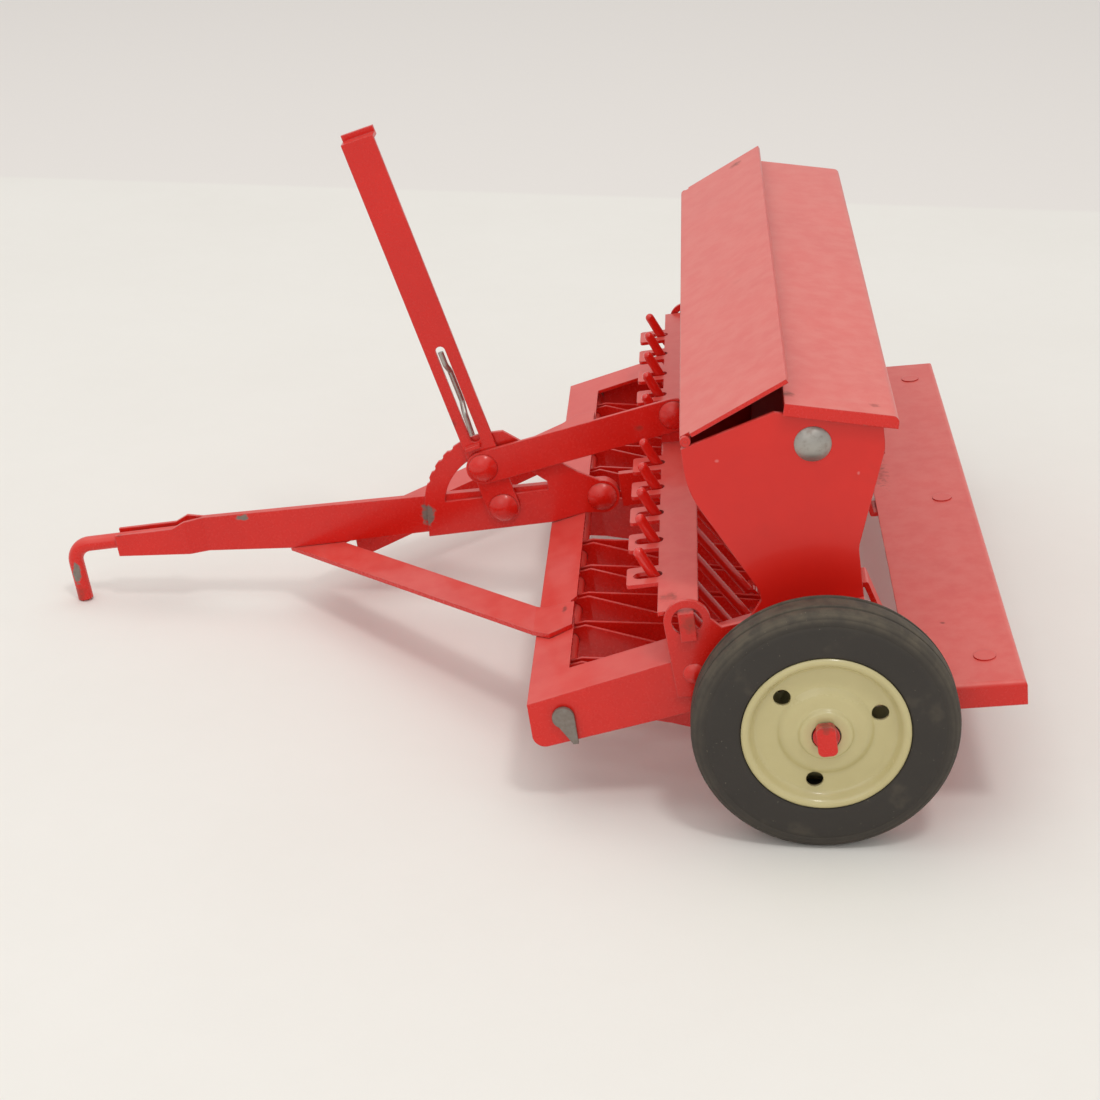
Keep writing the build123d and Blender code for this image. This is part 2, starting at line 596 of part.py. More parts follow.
def tongue_strip(side):
    """One of the two strips that clasp the hook's wire in front and lie back to back behind it."""
    plan = polygon([
        (REAR_RIVET_X - TONGUE_REAR_RADIUS, 0),
        (JOGGLE_FRONT_X - JOGGLE_LENGTH, 0),
        (JOGGLE_FRONT_X, WIRE_RADIUS),
        (TONGUE_FRONT_X, WIRE_RADIUS),
        (TONGUE_FRONT_X, WIRE_RADIUS + SHEET),
        (JOGGLE_FRONT_X, WIRE_RADIUS + SHEET),
        (JOGGLE_FRONT_X - JOGGLE_LENGTH, SHEET),
        (REAR_RIVET_X - TONGUE_REAR_RADIUS, SHEET),
    ])
    strip = extrude(plan, amount=2 * TONGUE_TOP_Z) & side_plate(tongue_side_outline(), -SHEET, 8 * SHEET)
    strip -= cross_pin(LEVER_PIVOT_X, LEVER_PIVOT_Z, RIVET_SHANK_RADIUS, -3, 3)
    strip -= cross_pin(REAR_RIVET_X, REAR_RIVET_Z, RIVET_SHANK_RADIUS, -3, 3)
    return mirrored(strip, side)


def hitch_hook():
    """Wire hook: a straight run between the tongue strips, a bend and a drop leg."""
    start = (JOGGLE_FRONT_X, 0, HOOK_Z)
    path = FilletPolyline(start, (HOOK_LEG_X, 0, HOOK_Z), (HOOK_LEG_X, 0, HOOK_TIP_Z), radius=HOOK_BEND)
    return sweep(Plane(origin=start, z_dir=(1, 0, 0)) * Circle(WIRE_RADIUS), path=path)


def quadrant():
    """Notched sector plate on the tongue's left face, with a window under its arc."""
    pivot = (LEVER_PIVOT_X, LEVER_PIVOT_Z)
    rail_rear_x = FRAME_FRONT_X - FRONT_RAIL_WIDTH
    outline = polygon([
        (REAR_RIVET_X, REAR_RIVET_Z + TONGUE_REAR_RADIUS),
        (58.5, 22.0),
        (70.3, 31.2),
        (76.5, 36.1),
        (pivot[0] + 1, 36.1),
        pivot,
        (100.6, 17.5),
        (101.5, 8.0),
        (rail_rear_x + 9, 8.0),
        (rail_rear_x, frame_top_z(rail_rear_x) + RUNNING_CLEARANCE),
        (REAR_RIVET_X, REAR_RIVET_Z - TONGUE_REAR_RADIUS),
    ])
    sector = Pos(*pivot) * Circle(QUADRANT_RADIUS)
    sector &= polygon([pivot, (pivot[0] + 1, 60), (140, 60), (140, 17.5), (100.6, 17.5)])
    outline += sector
    outline += disc_at(REAR_RIVET_X, REAR_RIVET_Z, TONGUE_REAR_RADIUS)
    for angle in (57, 47, 37, 27):
        reach = QUADRANT_RADIUS + 0.8
        turn = math.radians(angle)
        outline -= disc_at(pivot[0] + reach * math.cos(turn), pivot[1] + reach * math.sin(turn), 1.3)
    window = Pos(*pivot) * Circle(QUADRANT_WINDOW_RADIUS)
    window &= polygon([(66.8, 17.6), (96.0, 17.6), (96.0, 40.0), (89.0, 40.0), (68.0, 21.2), (66.8, 20.2)])
    outline -= window
    outline -= disc_at(*pivot, RIVET_SHANK_RADIUS)
    outline -= disc_at(REAR_RIVET_X, REAR_RIVET_Z, RIVET_SHANK_RADIUS)
    return side_plate(outline, QUADRANT_INNER_Y, SHEET)


def lever_pivot_rivet():
    """Rivet fast in the tongue; the lever turns on its shank."""
    return rivet(LEVER_PIVOT_X, LEVER_PIVOT_Z, -SHEET, LEVER_INNER_Y + SHEET + LAYER_GAP)


def tongue_rear_rivet():
    return rivet(REAR_RIVET_X, REAR_RIVET_Z, -SHEET, QUADRANT_INNER_Y + SHEET)


def drawbar_brace():
    """V-shaped strip under the tongue: two flat arms with inner flanges, their ends lapping over the front rail."""
    turn = math.radians(BRACE_ANGLE)
    inner_apex_x = BRACE_APEX_X - BRACE_WIDTH / math.sin(turn)
    rail_rear_x = FRAME_FRONT_X - FRONT_RAIL_WIDTH

    def outer_y(x):
        return (BRACE_APEX_X - x) * math.tan(turn)

    def inner_y(x):
        return (inner_apex_x - x) * math.tan(turn)

    arm = polygon([
        (BRACE_APEX_X, 0),
        (rail_rear_x + 6, outer_y(rail_rear_x + 6)),
        (rail_rear_x + 0.2, outer_y(rail_rear_x + 6) - 2),
        (rail_rear_x + 0.2, inner_y(rail_rear_x + 8) + 1),
        (rail_rear_x + 8, inner_y(rail_rear_x + 8)),
        (inner_apex_x, 0),
    ])
    lap_x = FRAME_FRONT_X + 0.6
    lap_z = frame_top_z(lap_x) + 0.2
    apex_z = 9.0 - BRACE_STEEL
    under = [(BRACE_APEX_X, apex_z), (inner_apex_x, apex_z - 0.1), (lap_x, lap_z), (rail_rear_x, frame_top_z(rail_rear_x) + 0.03)]
    over = [(x, z + BRACE_STEEL) for x, z in reversed(under)]
    profile = side_plate(polygon(under + over), -FRAME_HALF_WIDTH, 2 * FRAME_HALF_WIDTH)
    flange_front = inner_apex_x - 3.5
    flange_rear = FRAME_FRONT_X + 3
    flange_plan = polygon([
        (flange_front, inner_y(flange_front)),
        (flange_rear, inner_y(flange_rear)),
        (flange_rear, inner_y(flange_rear) + BRACE_STEEL / math.cos(turn)),
        (flange_front, inner_y(flange_front) + BRACE_STEEL / math.cos(turn)),
    ])
    flange = extrude(Pos(0, 0, apex_z - BRACE_FLANGE) * flange_plan, amount=BRACE_FLANGE + 0.4)
    half = (extrude(arm, amount=30) & profile) + flange
    return half + mirror(half, about=Plane.XZ)


def centre_strut():
    """Upright plate behind the tongue, standing on a foot that ties it to the hopper's floor."""
    outline = polygon([
        (STRUT_FRONT_X, 9.7),
        (STRUT_FRONT_X, 19.3),
        (STRUT_REAR_X, 19.3),
        (4.0, HOPPER_FLOOR_Z - STRAP_STEEL),
        (-6.0, HOPPER_FLOOR_Z - STRAP_STEEL),
        (-6.0, 18.0),
        (STRUT_REAR_X, 9.7),
    ])
    return side_plate(outline, -SHEET, 2 * SHEET)


# ---- lever and link ----

def lever_frame(along, across):
    """Side-view point at a distance along the lever and across it, forwards positive."""
    lean = math.radians(LEVER_LEAN)
    x = LEVER_PIVOT_X + along * math.sin(lean) + across * math.cos(lean)
    z = LEVER_PIVOT_Z + along * math.cos(lean) - across * math.sin(lean)
    return (x, z)


def lever():
    """Flat hand lever with a long slot, an outward tab under it and a folded top."""
    top = lever_frame(LEVER_LENGTH - 1.0, 0)
    outline = strip_outline((LEVER_PIVOT_X, LEVER_PIVOT_Z), top, LEVER_WIDTH, round_end=False)
    slot_low = lever_frame(LEVER_SLOT_LOW, 0.2)
    slot_high = lever_frame(LEVER_SLOT_HIGH, 0.2)
    outline -= strip_outline(slot_low, slot_high, LEVER_SLOT_WIDTH)
    outline -= disc_at(LEVER_PIVOT_X, LEVER_PIVOT_Z, RIVET_SHANK_RADIUS + RUNNING_CLEARANCE)
    outline -= disc_at(LINK_RIVET_X, LINK_RIVET_Z, RIVET_SHANK_RADIUS)
    blade = side_plate(outline, LEVER_INNER_Y, SHEET)
    fold_reach = 5.0
    fold = Box(LEVER_WIDTH, fold_reach, SHEET)
    fold_place = Rot(0, LEVER_LEAN, 0)
    x, z = lever_frame(LEVER_LENGTH - 1.5, 0)
    blade += Pos(x, LEVER_INNER_Y + SHEET - fold_reach / 2, z) * fold_place * fold
    lip = Box(LEVER_WIDTH, SHEET, 2.6)
    x, z = lever_frame(LEVER_LENGTH - 0.7, 0)
    blade += Pos(x, LEVER_INNER_Y + SHEET * 1.5 - fold_reach, z) * fold_place * lip
    tab = Box(LEVER_SLOT_WIDTH + 1.6, 2.6, SHEET)
    x, z = lever_frame(LEVER_SLOT_LOW - 2.2, 1.6)
    blade += Pos(x, LEVER_INNER_Y + 1.3, z) * fold_place * tab
    return blade


def latch_wire():
    """Bent bare wire that lies in the lever's slot and hooks round its edges."""
    y_mid = LEVER_INNER_Y + SHEET / 2

    def at(along, across, y):
        x, z = lever_frame(along, across)
        return (x, y, z)

    points = [
        at(LEVER_SLOT_LOW + 1.2, 0.5, y_mid + 0.9),
        at(LEVER_SLOT_LOW + 7.5, 0.2, y_mid + 0.9),
        at(LEVER_SLOT_LOW + 10.5, 0.2, y_mid - 1.6),
        at(LEVER_SLOT_HIGH - 6.5, 0.2, y_mid - 1.6),
        at(LEVER_SLOT_HIGH - 4.0, 0.2, y_mid + 0.7),
        at(LEVER_SLOT_HIGH - 0.2, 0.2, y_mid + 0.7),
    ]
    path = FilletPolyline(*points, radius=1.0)
    start = Plane(origin=points[0], z_dir=path % 0)
    return sweep(start * Circle(LATCH_WIRE_RADIUS), path=path)


def link_rivet():
    """Rivet fast in the lever; the link's front hole turns on it."""
    return rivet(LINK_RIVET_X, LINK_RIVET_Z, LEVER_INNER_Y, LINK_OUTER_Y + LAYER_GAP)


def link():
    """Strap from the lever back to the lift rail's lug, loose round the lug's rivet."""
    outline = strip_outline((LINK_RIVET_X, LINK_RIVET_Z), (LUG_RIVET_X, LUG_RIVET_Z), LINK_WIDTH)
    outline -= disc_at(LINK_RIVET_X, LINK_RIVET_Z, RIVET_SHANK_RADIUS + RUNNING_CLEARANCE)
    outline -= disc_at(LUG_RIVET_X, LUG_RIVET_Z, RIVET_SHANK_RADIUS + OPEN_PIVOT_CLEARANCE)
    return side_plate(outline, LINK_INNER_Y, SHEET)


# ---- hopper ----

def hopper_outline():
    """Side view of the hopper without its peak: wide above, pinched to a waist over the frame."""
    outline = polygon([
        (HOPPER_FRONT_X, HOPPER_EAVE_Z - 1.8),
        (HOPPER_FRONT_X, FRONT_SHOULDER_Z),
        (HOPPER_WAIST_FRONT_X, 28.0),
        (HOPPER_WAIST_FRONT_X, HOPPER_FLOOR_Z),
        (HOPPER_WAIST_BACK_X, HOPPER_FLOOR_Z),
        (HOPPER_WAIST_BACK_X, BACK_WAIST_Z),
        (HOPPER_BACK_X, BACK_SHOULDER_Z),
        (HOPPER_BACK_X, HOPPER_EAVE_Z - 1.8),
    ])
    radii = {
        (HOPPER_FRONT_X, FRONT_SHOULDER_Z): 24.0,
        (HOPPER_WAIST_FRONT_X, 28.0): 4.0,
        (HOPPER_WAIST_BACK_X, BACK_WAIST_Z): 8.0,
        (HOPPER_BACK_X, BACK_SHOULDER_Z): 10.0,
    }
    for point, radius in radii.items():
        corner = outline.vertices().sort_by_distance((point[0], point[1], 0))[0]
        outline = fillet(corner, radius)
    return outline


def hopper_body():
    """Trough bent from one sheet, with a riveting tab inside each end."""
    outer = hopper_outline()
    inner = offset(outer, amount=-SHEET, kind=Kind.INTERSECTION)
    inner += Pos(0, HOPPER_EAVE_Z - 1.8) * Pos((HOPPER_FRONT_X + HOPPER_BACK_X) / 2, 0) * Rectangle(
        HOPPER_FRONT_X - HOPPER_BACK_X - 2 * SHEET, 4 * SHEET)
    length = 2 * (HOPPER_HALF_WIDTH - SHEET)
    trough = side_plate(outer - inner, -length / 2, length)
    tab_outline = Pos((HOPPER_BACK_X + END_RIVET_X + 5) / 2, END_RIVET_Z - 1.5) * Rectangle(
        END_RIVET_X + 5 - HOPPER_BACK_X - 0.4, 6.5)
    tab = side_plate(tab_outline, length / 2 - SHEET, SHEET)
    tab -= end_rivet_bore()
    return trough + tab + mirror(tab, about=Plane.XZ)


def end_rivet_bore():
    return cross_pin(END_RIVET_X, END_RIVET_Z, RIVET_SHANK_RADIUS, HOPPER_HALF_WIDTH - 4, HOPPER_HALF_WIDTH + 4)


def end_plate(side):
    """Gable plate: the hopper's outline, a peaked top, hinge ears and a flared foot on the frame's flange."""
    foot = polygon([
        (HOPPER_WAIST_FRONT_X, HOPPER_FLOOR_Z + 0.5),
        (14.3, frame_top_z(14.3) + 2.6),
        (14.3, frame_top_z(14.3)),
        (HOPPER_WAIST_BACK_X, frame_top_z(HOPPER_WAIST_BACK_X)),
        (HOPPER_WAIST_BACK_X, HOPPER_FLOOR_Z + 0.5),
    ])
    peak = polygon([
        (HOPPER_FRONT_X, HOPPER_EAVE_Z - 1.9),
        (HOPPER_FRONT_X, HOPPER_EAVE_Z - 0.6),
        (RIDGE_X, RIDGE_Z),
        (HOPPER_BACK_X, HOPPER_EAVE_Z - 0.6),
        (HOPPER_BACK_X, HOPPER_EAVE_Z - 1.9),
    ])
    outline = hopper_outline() + foot + peak
    ear_radius = HINGE_RADIUS + EAR_RIM
    for x, z in ((FRONT_HINGE_X, FRONT_HINGE_Z), (REAR_HINGE_X, REAR_HINGE_Z)):
        outline += disc_at(x, z, ear_radius)
        outline -= disc_at(x, z, HINGE_RADIUS)
    plate = side_plate(outline, HOPPER_HALF_WIDTH - SHEET, SHEET)
    plate -= end_rivet_bore()
    return mirrored(plate, side)


def end_rivets():
    one = rivet(END_RIVET_X, END_RIVET_Z, HOPPER_HALF_WIDTH - 2 * SHEET, HOPPER_HALF_WIDTH, head=END_RIVET_RADIUS, height=1.7)
    return [one, mirror(one, about=Plane.XZ)]


def hinge_rod(x, z):
    """Hinge wire through both end plates' ears."""
    return cross_pin(x, z, HINGE_RADIUS, -HOPPER_HALF_WIDTH, HOPPER_HALF_WIDTH)


def lid_sheet(length, half_width, overhang):
    """Lid drawn level, its hinge along Y at the origin and its sheet running towards -X above the hinge."""
    curl_outer = HINGE_RADIUS + RUNNING_CLEARANCE + HINGE_CURL
    curl_reach = HOPPER_HALF_WIDTH - SHEET - SIDE_GAP
    panel_z = curl_outer - SHEET / 2
    panel = Pos((overhang - length + overhang) / 2 - overhang / 2, 0, panel_z) * Box(length, 2 * half_width, SHEET)
    curl = cross_pin(0, 0, curl_outer, -curl_reach, curl_reach)
    lid = panel + curl
    notch_length = overhang + curl_outer + SIDE_GAP * 2
    for side in SIDES.values():
        notch_width = half_width - curl_reach
        notch = Box(notch_length, notch_width, 4 * SHEET)
        lid -= Pos(overhang - notch_length / 2, side * (half_width - notch_width / 2), panel_z) * notch
    lid -= cross_pin(0, 0, HINGE_RADIUS + RUNNING_CLEARANCE, -half_width - 1, half_width + 1)
    return lid


def front_lid():
    """Front hopper lid, hinged at the front eave and standing a little open over the rear lid's ridge."""
    lid = lid_sheet(FRONT_LID_LENGTH, FRONT_LID_HALF_WIDTH, 1.2)
    return Pos(FRONT_HINGE_X, 0, FRONT_HINGE_Z) * Rot(0, FRONT_LID_AJAR, 0) * lid


def rear_lid():
    """Rear hopper lid, closed and hinged at the rear eave: a tray with its ends and back edge turned down."""
    curl_outer = HINGE_RADIUS + RUNNING_CLEARANCE + HINGE_CURL
    curl_reach = HOPPER_HALF_WIDTH - SHEET - SIDE_GAP
    panel_low = HINGE_RADIUS + EAR_RIM + SIDE_GAP
    panel_top = panel_low + SHEET
    back_x = REAR_LID_BACK + SHEET
    length = REAR_LID_LENGTH + back_x
    middle_x = back_x - length / 2
    back_drop = panel_top + 0.4
    slab = Pos(middle_x, 0, panel_top - back_drop / 2) * Box(length, 2 * REAR_LID_HALF_WIDTH, back_drop)
    bend = [e for e in slab.edges() if e.center().X > back_x - 0.01 and e.center().Z > panel_top - 0.01]
    slab = fillet(bend, REAR_LID_BEND)
    hollow = Box(length, 2 * (REAR_LID_HALF_WIDTH - LIP_STEEL), back_drop)
    slab -= Pos(middle_x - SHEET, 0, panel_low - back_drop / 2) * hollow
    curl = cross_pin(0, 0, curl_outer, -curl_reach, curl_reach)
    web = Box(HINGE_CURL, 2 * curl_reach, panel_low + SHEET / 2)
    lid = slab + curl + Pos(HINGE_CURL / 2 - curl_outer, 0, (panel_low + SHEET / 2) / 2) * web
    lip_length = length - REAR_LID_BEND
    for side in SIDES.values():
        lip = Box(lip_length, LIP_STEEL, REAR_LID_LIP)
        lip_y = side * (REAR_LID_HALF_WIDTH - LIP_STEEL / 2)
        lid += Pos(back_x - length + lip_length / 2, lip_y, panel_top - REAR_LID_LIP / 2) * lip
    lid -= cross_pin(0, 0, HINGE_RADIUS + RUNNING_CLEARANCE, -curl_reach - 0.1, curl_reach + 0.1)
    return Pos(REAR_HINGE_X, 0, REAR_HINGE_Z) * Rot(0, 0, 180) * Rot(0, REAR_LID_SLOPE, 0) * lid


# ---- footboard ----

def on_board(shape):
    """Tilt a shape drawn level about the footboard's front top edge."""
    return Pos(BOARD_FRONT_X, 0, BOARD_TOP_Z) * Rot(0, -BOARD_TILT, 0) * shape


def footboard():
    """Shallow pressed board with its rear and end edges turned down."""
    depth = BOARD_FRONT_X - BOARD_REAR_X
    slab = Pos(-depth / 2, 0, -BOARD_FLANGE / 2) * Box(depth, 2 * BOARD_HALF_WIDTH, BOARD_FLANGE)
    upper = slab.faces().sort_by(Axis.Z)[-1]
    edges = [e for e in upper.edges() if e.center().X < -0.01]
    slab = fillet(edges, SHEET * 1.2)
    hollow = Box(depth, 2 * (BOARD_HALF_WIDTH - SHEET), BOARD_FLANGE)
    slab -= Pos(-depth / 2 + SHEET, 0, -BOARD_FLANGE / 2 - SHEET) * hollow
    for y in (-BOARD_RIVET_Y, 0, BOARD_RIVET_Y):
        slab -= Pos(BOARD_RIVET_X - BOARD_FRONT_X, y, 0) * Cylinder(BOARD_RIVET_RADIUS / 2, 4 * SHEET)
    return on_board(slab)


def footboard_rivets():
    """Three nearly flush rivets that hold the board to its straps."""
    rivets = []
    under = SHEET + STRAP_STEEL + 3 * RUNNING_CLEARANCE
    for y in (-BOARD_RIVET_Y, 0, BOARD_RIVET_Y):
        x = BOARD_RIVET_X - BOARD_FRONT_X
        one = Pos(x, y, -under / 2) * Cylinder(BOARD_RIVET_RADIUS / 2, under)
        one += Pos(x, y, 0.15) * Cylinder(BOARD_RIVET_RADIUS, 0.3)
        one += Pos(x, y, -under - 0.3) * Cylinder(BOARD_RIVET_RADIUS, 0.6)
        rivets.append(on_board(one))
    return rivets


def footboard_straps():
    """Three bent straps from under the hopper's floor down and back under the board."""
    half = STRAP_STEEL / 2
    tilt = math.tan(math.radians(BOARD_TILT))
    board_under = BOARD_TOP_Z - SHEET - half - RUNNING_CLEARANCE

    def under_board(x):
        return board_under - (BOARD_FRONT_X - x) * tilt

    top_z = HOPPER_FLOOR_Z - half
    points = [
        (8.0, top_z),
        (HOPPER_WAIST_BACK_X - 0.9, top_z),
        (STRAP_KNEE_X, STRAP_KNEE_Z),
        (BOARD_FRONT_X + 1.4, under_board(BOARD_FRONT_X + 1.4)),
        (BOARD_RIVET_X - 4.5, under_board(BOARD_RIVET_X - 4.5)),
    ]
    straps = []
    for y in (-BOARD_RIVET_Y, 0, BOARD_RIVET_Y):
        outline = strip_outline(points[0], points[1], STRAP_STEEL, round_start=False)
        for start, end in zip(points[1:-1], points[2:]):
            outline += strip_outline(start, end, STRAP_STEEL)
        strap = side_plate(outline, -STRAP_WIDTH / 2, STRAP_WIDTH)
        hole = on_board(Pos(BOARD_RIVET_X - BOARD_FRONT_X, 0, 0) * Cylinder(BOARD_RIVET_RADIUS / 2, 8 * SHEET))
        strap -= hole
        straps.append(Pos(0, y, 0) * strap)
    return straps


# ---- standing pose ----

def stance_pitch():
    """Nose-down angle in degrees at which the hook's tip reaches the floor that the wheels stand on."""
    tip_x = HOOK_LEG_X + WIRE_RADIUS
    reach = math.hypot(tip_x, HOOK_TIP_Z)
    return math.degrees(math.asin(WHEEL_RADIUS / reach) + math.atan2(HOOK_TIP_Z, tip_x))


def all_parts():
    """Every node in the body frame, by name."""
    parts = {
        "frame": frame(),
        "front_rod": front_rod(),
        "axle": axle(),
        "bracket_rivets": Compound(bracket_rivets()),
        "left_tongue_strip": tongue_strip(1),
        "right_tongue_strip": tongue_strip(-1),
        "hitch_hook": hitch_hook(),
        "quadrant": quadrant(),
        "lever_pivot_rivet": lever_pivot_rivet(),
        "tongue_rear_rivet": tongue_rear_rivet(),
        "drawbar_brace": drawbar_brace(),
        "centre_strut": centre_strut(),
        "hopper_body": hopper_body(),
        "hopper_end_rivets": Compound(end_rivets()),
        "front_hinge_rod": hinge_rod(FRONT_HINGE_X, FRONT_HINGE_Z),
        "rear_hinge_rod": hinge_rod(REAR_HINGE_X, REAR_HINGE_Z),
        "footboard": footboard(),
        "footboard_rivets": Compound(footboard_rivets()),
        "footboard_straps": Compound(footboard_straps()),
        "lever": lever(),
        "latch_wire": latch_wire(),
        "link_rivet": link_rivet(),
        "link": link(),
        "lift_rail": lift_rail(),
        "lug_rivet": lug_rivet(),
        "front_lid": front_lid(),
        "rear_lid": rear_lid(),
    }
    for side_name, side in SIDES.items():
        parts[f"{side_name}_side_bracket"] = side_bracket(side)
        parts[f"{side_name}_end_plate"] = end_plate(side)
        parts.update(wheel_parts(side_name, side))
    for index in range(1, OPENERS + 1):
        parts[f"opener_{index}"] = opener(index)
        parts[f"lift_rod_{index}"] = lift_rod(index)
    return parts


def stand_on_floor(parts):
    """Tip the body nose down and move it so that the stored origin is under its centre, on the floor."""
    tilt = Rot(0, stance_pitch(), 0)
    tipped = {name: tilt * shape for name, shape in parts.items()}
    boxes = [shape.bounding_box() for shape in tipped.values()]
    centre_x = (min(b.min.X for b in boxes) + max(b.max.X for b in boxes)) / 2
    place = Pos(-centre_x, 0, WHEEL_RADIUS)
    return {name: place * shape for name, shape in tipped.items()}, place * tilt


os.makedirs("parts", exist_ok=True)
STANDING_PARTS, STANCE = stand_on_floor(all_parts())
for node_name, node_shape in STANDING_PARTS.items():
    export_step(node_shape, f"parts/{node_name}.step")
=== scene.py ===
"""Finishes, soft-stamped wheels and a small studio for a pressed-steel toy seed drill.

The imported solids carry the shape. This file gives every one of them its worn enamel or bare steel, turns new
tyres and wheel discs with softer pressings, and sets the floor, the light and the camera.
"""

import json
import logging
import math
from dataclasses import dataclass
from enum import Enum
from typing import Any, Iterable, Sequence

import bmesh
import bpy
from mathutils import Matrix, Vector


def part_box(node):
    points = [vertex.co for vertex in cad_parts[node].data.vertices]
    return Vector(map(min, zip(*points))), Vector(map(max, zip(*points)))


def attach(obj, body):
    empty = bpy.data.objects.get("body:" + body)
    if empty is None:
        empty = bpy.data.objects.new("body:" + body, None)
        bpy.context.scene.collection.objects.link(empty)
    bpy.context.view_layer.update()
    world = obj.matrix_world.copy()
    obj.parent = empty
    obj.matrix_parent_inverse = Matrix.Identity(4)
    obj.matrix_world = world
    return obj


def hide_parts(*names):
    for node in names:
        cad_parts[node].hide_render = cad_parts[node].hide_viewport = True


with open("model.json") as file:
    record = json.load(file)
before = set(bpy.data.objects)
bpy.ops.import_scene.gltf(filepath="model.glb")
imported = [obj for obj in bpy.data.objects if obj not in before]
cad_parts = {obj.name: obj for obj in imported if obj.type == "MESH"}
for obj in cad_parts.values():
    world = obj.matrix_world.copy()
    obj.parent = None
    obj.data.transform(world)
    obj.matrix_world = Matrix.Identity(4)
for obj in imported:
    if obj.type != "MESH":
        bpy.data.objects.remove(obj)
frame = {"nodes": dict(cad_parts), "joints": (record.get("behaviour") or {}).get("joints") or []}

LOG = logging.getLogger("seed_drill")
MM = 0.001
Colour = tuple[float, float, float]
Triple = tuple[float, float, float]
Profile = Sequence[tuple[float, float]]


# ---------------------------------------------------------------- shader maths


class Amount:
    """A number that varies over a surface, held by one node socket."""

    def __init__(self, bench: "PaintBench", socket: bpy.types.NodeSocket) -> None:
        """Keeps the bench that owns the nodes, and the socket."""
        self.bench = bench
        self.socket = socket

    def __add__(self, other: "Amount | float") -> "Amount":
        """This amount plus another."""
        return self.bench.maths("ADD", self, other)

    def __radd__(self, other: float) -> "Amount":
        """A number plus this amount."""
        return self.bench.maths("ADD", other, self)

    def __sub__(self, other: "Amount | float") -> "Amount":
        """This amount less another."""
        return self.bench.maths("SUBTRACT", self, other)

    def __rsub__(self, other: float) -> "Amount":
        """A number less this amount."""
        return self.bench.maths("SUBTRACT", other, self)

    def __mul__(self, other: "Amount | float") -> "Amount":
        """This amount times another."""
        return self.bench.maths("MULTIPLY", self, other)

    def __rmul__(self, other: float) -> "Amount":
        """A number times this amount."""
        return self.bench.maths("MULTIPLY", other, self)

    def larger(self, other: "Amount | float") -> "Amount":
        """The larger of this amount and another."""
        return self.bench.maths("MAXIMUM", self, other)

    def wave(self) -> "Amount":
        """The sine of this amount."""
        return self.bench.maths("SINE", self, 0.0)

    def rise(self, low: float, high: float) -> "Amount":
        """A smooth step.

        Args:
            low: the value at and below which the step is 0.
            high: the value at and above which the step is 1.

        Returns:
            The step, from 0 to 1.
        """
        step = self.bench.node(
            "ShaderNodeMapRange",
            {"interpolation_type": "SMOOTHSTEP"},
            {"Value": self, "From Min": low, "From Max": high},
        )
        return Amount(self.bench, step.outputs[0])

    def clamped(self) -> "Amount":
        """This amount held between 0 and 1."""
        held = self.bench.node("ShaderNodeClamp", {}, {"Value": self})
        return Amount(self.bench, held.outputs[0])


class Pattern(Enum):
    """A noise pattern: the size of its clouds in millimetres, its finer layers and its seed."""

    CLOUD = (24.0, 3.0, 1.0)
    PATCH = (5.0, 4.0, 2.0)
    GRAIN = (0.9, 2.0, 3.0)
    RAGGED = (1.4, 3.0, 4.0)
    SPECK = (0.5, 1.0, 5.0)
    SMUDGE = (7.0, 5.0, 6.0)
    CHIPPING = (3.0, 3.0, 7.0)
    SWELL = (30.0, 0.0, 8.0)
    RUBBER_CLOUD = (11.0, 4.0, 11.0)
    RUBBER_PATCH = (3.2, 4.0, 12.0)
    RUBBER_GRAIN = (0.35, 2.0, 13.0)
    RUBBER_SPECK = (0.6, 1.0, 14.0)
    STEEL_PATCH = (2.2, 4.0, 21.0)
    STEEL_GRAIN = (0.3, 2.0, 22.0)
    CLOTH_SWELL = (70.0, 3.0, 31.0)
    CLOTH_THREAD = (1.1, 2.0, 32.0)
    CLOTH_CRUMB = (9.0, 4.0, 33.0)


